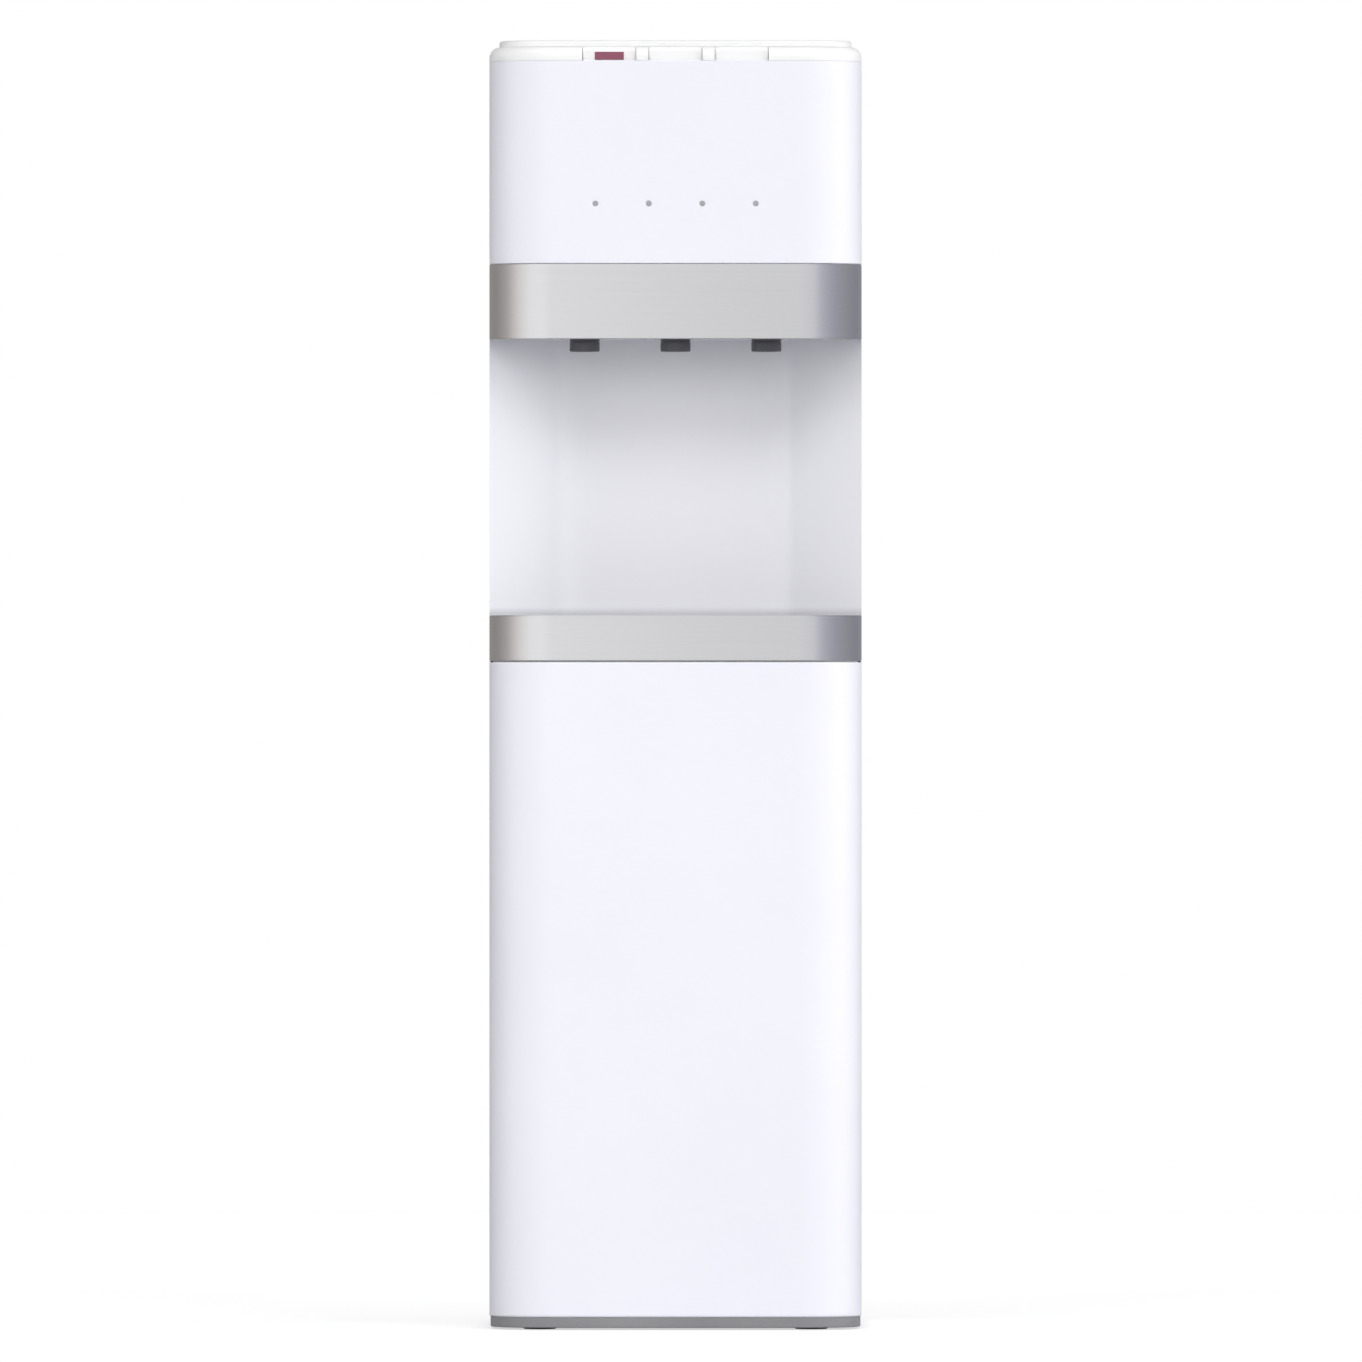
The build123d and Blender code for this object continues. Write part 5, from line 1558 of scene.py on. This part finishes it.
@dataclass
class Sheets:
    """The coated steel sides and back, with their screws and air slots."""

    plan: Plan
    flange: float = 14 * MM
    bend: float = 1.6 * MM
    cut_edge: float = 0.35 * MM
    hood_depth: float = 2.2 * MM
    hood_length: float = 100 * MM
    hood_height: float = 7.4 * MM
    hood_sheet: float = 0.7 * MM
    hood_stand: float = 0.02 * MM
    hood_pitch: float = 12 * MM
    hood_rows: int = 13
    hood_columns: tuple[float, ...] = (-60 * MM, 60 * MM)
    screw_side: float = 7 * MM
    screw_end: float = 15 * MM
    head_radius: float = 3.6 * MM
    head_height: float = 2.2 * MM
    recess_arms: tuple[Flat, ...] = ((2.1 * MM, 0.42 * MM), (0.42 * MM, 2.1 * MM))

    def side(self, side: Side) -> Piece:
        """One bent side sheet, with a flange bent in at the back and softened edges.

        Args:
            side: Which side of the cabinet it closes.

        Returns:
            The sheet.
        """
        low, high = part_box(f"{side.name.lower()}_side_panel")
        sheet, outer = self.plan.sheet, self.plan.half
        line = [(-outer, low.y), (-outer, high.y), (-outer + self.flange, high.y)]
        path = rounded(line, [0, self.bend, 0], closed=False, guard=MM)
        if side is Side.RIGHT:
            path = [Vector((-point.x, point.y)) for point in reversed(path)]
        corners = [(0, low.z), (0, high.z), (sheet, high.z), (sheet, low.z)]
        section = rounded(corners, [self.cut_edge] * 4, steps=3, guard=0.3 * MM)
        maker = Maker()
        maker.sweep(path, [Vector((-point.x, point.y)) for point in section])
        return maker.finish(f"{side.name.lower()}_side_sheet")

    def hoods(self, wardrobe: Wardrobe) -> Piece:
        """Pressed hoods over the air slots, made with geometry nodes.

        Args:
            wardrobe: Where the hoods' material comes from.

        Returns:
            All the hoods as one piece.
        """
        half, stand, top = self.hood_length / 2, self.hood_stand, self.hood_height * 0.5
        form = Maker()
        rings = []
        for step in range(17):
            along = -1 + step / 8
            swell = math.sqrt(max(1 - abs(along) ** 6, 0))
            bulge = self.hood_depth * swell
            inner = max(bulge - self.hood_sheet, 0)
            bottom = -self.hood_height * 0.5 * (0.55 + 0.45 * swell)
            section = [
                (stand, top), (bulge * 0.45 + stand, top * 0.55),
                (bulge * 0.9 + stand, top * -0.15), (bulge + stand, bottom * 0.75),
                (bulge * 0.98 + stand, bottom), (inner, bottom), (inner, bottom * 0.7),
                (bulge * 0.2, top * 0.1), (-0.2 * MM, top * 0.7),
            ]
            rings.append([Vector((half * along, y, z)) for y, z in section])
        form.loft(rings)
        middle = sum(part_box("compressor_cover"), Vector()).z / 2
        rows = self.hood_rows
        places = [
            Vector((x, self.plan.back, middle + (row - (rows - 1) / 2) * self.hood_pitch))
            for x in self.hood_columns for row in range(rows)
        ]
        return instance_pattern("louvre_rows").make(
            "louvre_hoods", places, Form=form.finish("louvre_hood"), Turn=0.0, Seed=3,
            Material=wardrobe.material("white_powder_coat"),
        )

    def screw_places(self) -> list[Vector]:
        """Where the screws sit, on the outer face of the back.

        Returns:
            One point for each screw.
        """
        cover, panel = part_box("compressor_cover"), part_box("rear_panel")
        low = cover[1].z + self.screw_end
        step = (panel[1].z - cover[1].z - 2 * self.screw_end) / 4
        levels = [low + step * i for i in range(5)]
        levels += [cover[0].z + self.screw_end, cover[1].z - self.screw_end]
        x = self.plan.half - self.screw_side
        return [Vector((side.value * x, self.plan.back, z)) for z in levels for side in Side]

    def screws(self, wardrobe: Wardrobe) -> Piece:
        """Pan-head screws with a cross recess, made with geometry nodes.

        Args:
            wardrobe: Where the screws' material comes from.

        Returns:
            All the screws as one piece.
        """
        r, h = self.head_radius, self.head_height
        shank = [(0, -9), (0.6, -8.6), (1.6, -7.4), (1.6, 0)]
        dome = [(1, 0), (1, 0.35), (0.93, 0.62), (0.75, 0.84), (0.45, 0.96), (0, 1)]
        form = Maker()
        profile = [(radius * MM, y * MM) for radius, y in shank]
        profile += [(r * share, rise * h) for share, rise in dome]
        form.turn(Vector((0, 0, 0)), profile, steps=28, upright=False)
        head = form.finish("screw_form")
        for long, wide in self.recess_arms:
            rings = []
            for y, scale in ((0.45 * h, 0.45), (h + MM, 1.1)):
                a, b = (long * scale, wide) if long > wide else (long, wide * scale)
                corners = [(-a, -b), (a, -b), (a, b), (-a, b)]
                rings.append([Vector((x, y, z)) for x, z in corners])
            recess = Maker()
            recess.loft(rings)
            cut_holes(head, recess.finish("recess_form"))
        return instance_pattern("screw_rows").make(
            "back_screws", self.screw_places(), Form=head, Turn=math.pi / 3, Seed=11,
            Material=wardrobe.material("plain_stainless"),
        )

    def build(self, wardrobe: Wardrobe) -> None:
        """Builds and dresses the sides and the back.

        Args:
            wardrobe: Where the finishes come from.
        """
        for side in Side:
            node = f"{side.name.lower()}_side_panel"
            wardrobe.fit(self.side(side), "white_powder_coat", "cabinet", node)
        wardrobe.dress_nodes("white_powder_coat", "rear_panel", "compressor_cover")
        wardrobe.fit(self.hoods(wardrobe), "white_powder_coat", "cabinet")
        wardrobe.fit(self.screws(wardrobe), "plain_stainless", "cabinet", "rear_screws")


@dataclass
class Condenser:
    """The wire-on-tube condenser on the back."""

    plan: Plan
    runs: int = 15
    pitch: float = 34 * MM
    half: float = 125 * MM
    port: float = 118 * MM
    port_inset: float = 7.8 * MM
    bend_gap: float = 0.2 * MM
    tube: float = 2.4 * MM
    wire: float = 0.7 * MM
    spacing: float = 10 * MM
    wires: int = 21

    def tubing(self, wardrobe: Wardrobe) -> Piece:
        """The tube bent to and fro, following its path with geometry nodes.

        Args:
            wardrobe: Where the tube's material comes from.

        Returns:
            The tube.
        """
        low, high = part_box("condenser_tube")
        y, top = high.y - self.tube, high.z - self.tube
        path = [(self.port, self.plan.back - self.port_inset, top), (self.port, y, top)]
        for row in range(self.runs - 1):
            x = self.half if row % 2 else -self.half
            z = top - row * self.pitch
            path += [(x, y, z), (x, y, z - self.pitch)]
        bottom = top - (self.runs - 1) * self.pitch
        turn = low.y + self.tube
        path += [(-self.port, y, bottom), (-self.port, turn, bottom), (-self.port, turn, low.z)]
        return tube_pattern().make(
            "condenser_tubing", [Vector(point) for point in path], edges=True,
            Bend=self.pitch / 2 - self.bend_gap, Radius=self.tube, Sides=16,
            Material=wardrobe.material("dark_coat"),
        )

    def wiring(self, wardrobe: Wardrobe) -> Piece:
        """The upright wires on both faces of the tube, made with geometry nodes.

        Args:
            wardrobe: Where the wires' material comes from.

        Returns:
            All the wires as one piece.
        """
        low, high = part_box("condenser_wires")
        places = [
            Vector(((index - (self.wires - 1) / 2) * self.spacing, y, (low.z + high.z) / 2))
            for y in (low.y + self.wire, high.y - self.wire) for index in range(self.wires)
        ]
        return wire_pattern().make(
            "condenser_wiring", places, Length=high.z - low.z, Radius=self.wire,
            Material=wardrobe.material("dark_coat"),
        )

    def build(self, wardrobe: Wardrobe) -> None:
        """Builds and dresses the condenser.

        Args:
            wardrobe: Where the finishes come from.
        """
        wardrobe.fit(self.tubing(wardrobe), "dark_coat", "cabinet", "condenser_tube")
        wardrobe.fit(self.wiring(wardrobe), "dark_coat", "cabinet", "condenser_wires")
        wardrobe.dress_nodes("dark_grained_moulding", "condenser_brackets")


@dataclass
class Works:
    """Base, fittings and inner works, which keep their CAD shape, and the return springs."""

    weld: float = 0.001 * MM
    finishes: tuple[tuple[str, ...], ...] = (
        ("base_coat", "base_pan"),
        ("matt_rubber", "feet", "compressor_mounts"),
        ("dark_grained_moulding", "switch_housings", "cable_gland", "drain_spout", "drain_cap",
         "control_box"),
        ("red_gloss_moulding", "hot_switch"),
        ("black_gloss_moulding", "cold_switch"),
        ("natural_moulding", "tap_valves", "baffle_plate", "cold_tank_cover", "hot_push_bar",
         "room_push_bar", "cold_push_bar"),
        ("milky_silicone", "water_hoses", "hot_valve_stem", "room_valve_stem",
         "cold_valve_stem"),
        ("zinc_sheet", "tank_shelf", "hot_tank_bracket"),
        ("plain_stainless", "cold_tank", "hot_tank", "heater_element"),
        ("cell_foam", "cold_tank_foam", "hot_tank_jacket"),
        ("bare_copper", "evaporator_coil", "refrigerant_lines"),
        ("dark_coat", "compressor"),
    )

    def spring(self, tap: Tap) -> Piece:
        """A return spring, copied from its CAD node with its loose points merged.

        Args:
            tap: The tap that the spring belongs to.

        Returns:
            The spring, where its CAD node stood.
        """
        node = f"{tap.key}_spring"
        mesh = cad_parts[node].data.copy()
        merged = bmesh.new()
        merged.from_mesh(mesh)
        bmesh.ops.remove_doubles(merged, verts=merged.verts, dist=self.weld)
        merged.to_mesh(mesh)
        merged.free()
        piece = link(f"{tap.name.lower()}_return_spring", mesh)
        tap.key
        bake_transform(piece)
        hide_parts(node)
        return piece

    def build(self, wardrobe: Wardrobe) -> None:
        """Dresses the nodes and adds the springs.

        Args:
            wardrobe: Where the finishes come from.
        """
        for finish, *nodes in self.finishes:
            wardrobe.dress_nodes(finish, *nodes)
        for tap in Tap:
            piece = self.spring(tap)
            wardrobe.dress(piece, "plain_stainless")
            log.info("piece %s: %d faces, held to its key", piece.name, len(piece.data.polygons))


# Studio


@dataclass(frozen=True)
class Lamp:
    """A distant soft lamp: where it stands, in degrees, how bright and how wide it is."""

    azimuth: float
    elevation: float
    level: float
    width: float


@dataclass
class Studio:
    """Camera, lamps, floor and the ring of light and dark that the steel reflects."""

    lens: float = 600.0
    sensor: float = 36.0
    clip: Flat = (0.1, 200.0)
    frame_width: float = 1131.96 * MM
    centre_x: float = 4.57 * MM
    centre_z: float = 539.4 * MM
    plane_y: float = -160 * MM
    ambient: float = 0.01
    lamps: tuple[Lamp, ...] = (
        Lamp(90, 10, 0.35, 40), Lamp(65, 10, 0.34, 40), Lamp(-70, 10, 0.30, 40),
        Lamp(-25, 35, 0.19, 20), Lamp(25, 35, 0.15, 20), Lamp(30, 10, 0.14, 20),
        Lamp(-30, 10, 0.05, 20), Lamp(0, 5, 0.08, 30), Lamp(0, 25, 0.09, 20),
        Lamp(-50, 5, 0.03, 20), Lamp(0, 85, 0.30, 60), Lamp(180, 5, 0.45, 40),
    )
    floor_size: float = 4.0
    floor_colour: Colour = (0.53, 0.53, 0.54)
    floor_lift: float = 0.60
    ring_radius: float = 0.8
    ring_low: float = -3.0
    ring_high: float = 5.0
    ring: tuple[Flat, ...] = (
        (-180, 0.34), (-130, 0.33), (-104, 0.34), (-77, 0.50), (-58, 0.86), (-38, 1.14),
        (-16, 1.16), (-8, 1.10), (-3, 1.0), (3, 0.93), (9, 0.90), (27, 0.87), (33, 0.71),
        (40, 0.61), (60, 0.46), (84, 0.39), (113, 0.32), (140, 0.35), (180, 0.34),
    )
    ring_front: Flat = (-50, 30)
    ring_left: Colour = (1.06, 1.0, 0.96)
    ring_right: Colour = (0.98, 0.98, 1.10)

    def camera(self) -> None:
        """A level camera with a long lens, straight in front."""
        data = bpy.data.cameras.new("front_camera")
        data.lens, data.sensor_width = self.lens, self.sensor
        data.clip_start, data.clip_end = self.clip
        camera = link("front_camera", data)
        distance = self.frame_width * self.lens / self.sensor
        camera.location = (self.centre_x, self.plane_y - distance, self.centre_z)
        camera.rotation_euler = (math.pi / 2, 0, 0)
        bpy.context.scene.camera = camera

    def lamp(self, name: str, source: Lamp) -> None:
        """Hangs one lamp, of which a level of 1 renders a colour as written.

        Args:
            name: The lamp's name.
            source: Where it stands, how bright and how wide it is.
        """
        data = bpy.data.lights.new(name, "SUN")
        data.energy = source.level * math.pi
        data.angle = math.radians(source.width)
        lamp = link(name, data)
        a, e = math.radians(source.azimuth), math.radians(source.elevation)
        place = Vector((math.sin(a) * math.cos(e), -math.cos(a) * math.cos(e), math.sin(e)))
        lamp.rotation_euler = place.to_track_quat("Z", "Y").to_euler()
        lamp.visible_glossy = False

    def world(self) -> None:
        """White where the camera, metal and glass see it, and a low even light elsewhere."""
        bpy.context.scene.world = bpy.data.worlds.new("studio")
        tree = cleared(bpy.context.scene.world)
        rays = tree.add("ShaderNodeLightPath").outputs
        seen = tree.math("MAXIMUM", rays["Is Camera Ray"], rays["Is Glossy Ray"])
        seen = tree.math("MAXIMUM", seen, rays["Is Transmission Ray"])
        level = tree.map_range(seen, end=(self.ambient, 1.0))
        back = tree.add("ShaderNodeBackground", {"Color": (1, 1, 1, 1), "Strength": level})
        tree.add("ShaderNodeOutputWorld", {"Surface": back.outputs["Background"]})

    def stage(self, name: str, data: bpy.types.Mesh, material: bpy.types.Material) -> Piece:
        """Adds a piece of the studio, which is no part of the dispenser.

        Args:
            name: The piece's name.
            data: Its mesh.
            material: Its material.

        Returns:
            The piece.
        """
        piece = link(name, data)
        data.materials.append(material)
        return piece

    def floor(self) -> None:
        """A pale floor, which a lift that only the camera sees turns white."""
        size = self.floor_size
        data = bpy.data.meshes.new("studio_floor")
        corners = [(-size, -size, 0), (size, -size, 0), (size, size, 0), (-size, size, 0)]
        data.from_pydata(corners, [], [(0, 1, 2, 3)])
        material = bpy.data.materials.new("pale_floor")
        tree = cleared(material)
        seen = tree.add("ShaderNodeLightPath").outputs["Is Camera Ray"]
        lift = tree.math("MULTIPLY", seen, self.floor_lift)
        shader = tree.add("ShaderNodeBsdfDiffuse", {"Color": (*self.floor_colour, 1)})
        glow = tree.add("ShaderNodeEmission", {"Color": (1, 1, 1, 1), "Strength": lift})
        both = tree.add("ShaderNodeAddShader", {0: shader.outputs[0], 1: glow.outputs[0]})
        tree.add("ShaderNodeOutputMaterial", {"Surface": both.outputs[0]})
        self.stage("studio_floor", data, material)

    def mirror_ring(self) -> None:
        """A tall ring round the object, bright and dark in turn, that only reflections see."""
        points, faces, colours = [], [], []
        for index, (azimuth, level) in enumerate(self.ring):
            angle = math.radians(azimuth)
            x, y = math.sin(angle) * self.ring_radius, -math.cos(angle) * self.ring_radius
            points += [(x, y, self.ring_low), (x, y, self.ring_high)]
            left, right = azimuth < self.ring_front[0], azimuth > self.ring_front[1]
            tint = self.ring_left if left else self.ring_right if right else (1, 1, 1)
            colours += [*(level * part for part in tint), 1.0] * 2
            if index:
                low = 2 * index - 2
                faces.append((low, low + 2, low + 3, low + 1))
        data = bpy.data.meshes.new("mirror_ring")
        data.from_pydata(points, [], faces)
        data.attributes.new("glow", "FLOAT_COLOR", "POINT").data.foreach_set("color", colours)
        material = bpy.data.materials.new("ring_glow")
        tree = cleared(material)
        colour = tree.add("ShaderNodeAttribute", attribute_name="glow").outputs["Color"]
        glow = tree.add("ShaderNodeEmission", {"Color": colour, "Strength": 1.0})
        tree.add("ShaderNodeOutputMaterial", {"Surface": glow.outputs[0]})
        ring = self.stage("mirror_ring", data, material)
        ring.visible_camera = ring.visible_diffuse = False
        ring.visible_transmission = ring.visible_shadow = False

    def build(self) -> None:
        """Sets up the camera and the light."""
        self.camera()
        self.world()
        self.floor()
        for index, source in enumerate(self.lamps):
            self.lamp(f"soft_lamp_{index}", source)
        self.mirror_ring()
        bpy.context.scene.view_settings.view_transform = "Standard"


def main() -> None:
    """Builds the studio and every sub-assembly, in order."""
    logging.basicConfig(level=logging.INFO, format="%(message)s")
    plan = Plan.from_frame()
    wardrobe = Wardrobe()
    Studio().build()
    for part in (
        FrontPanels(plan), SteelBands(plan), Alcove(plan), DeckTop(plan), Sheets(plan),
        Condenser(plan), Works(),
    ):
        part.build(wardrobe)
        log.info("%s built", type(part).__name__)


if __name__ == "__main__":
    main()
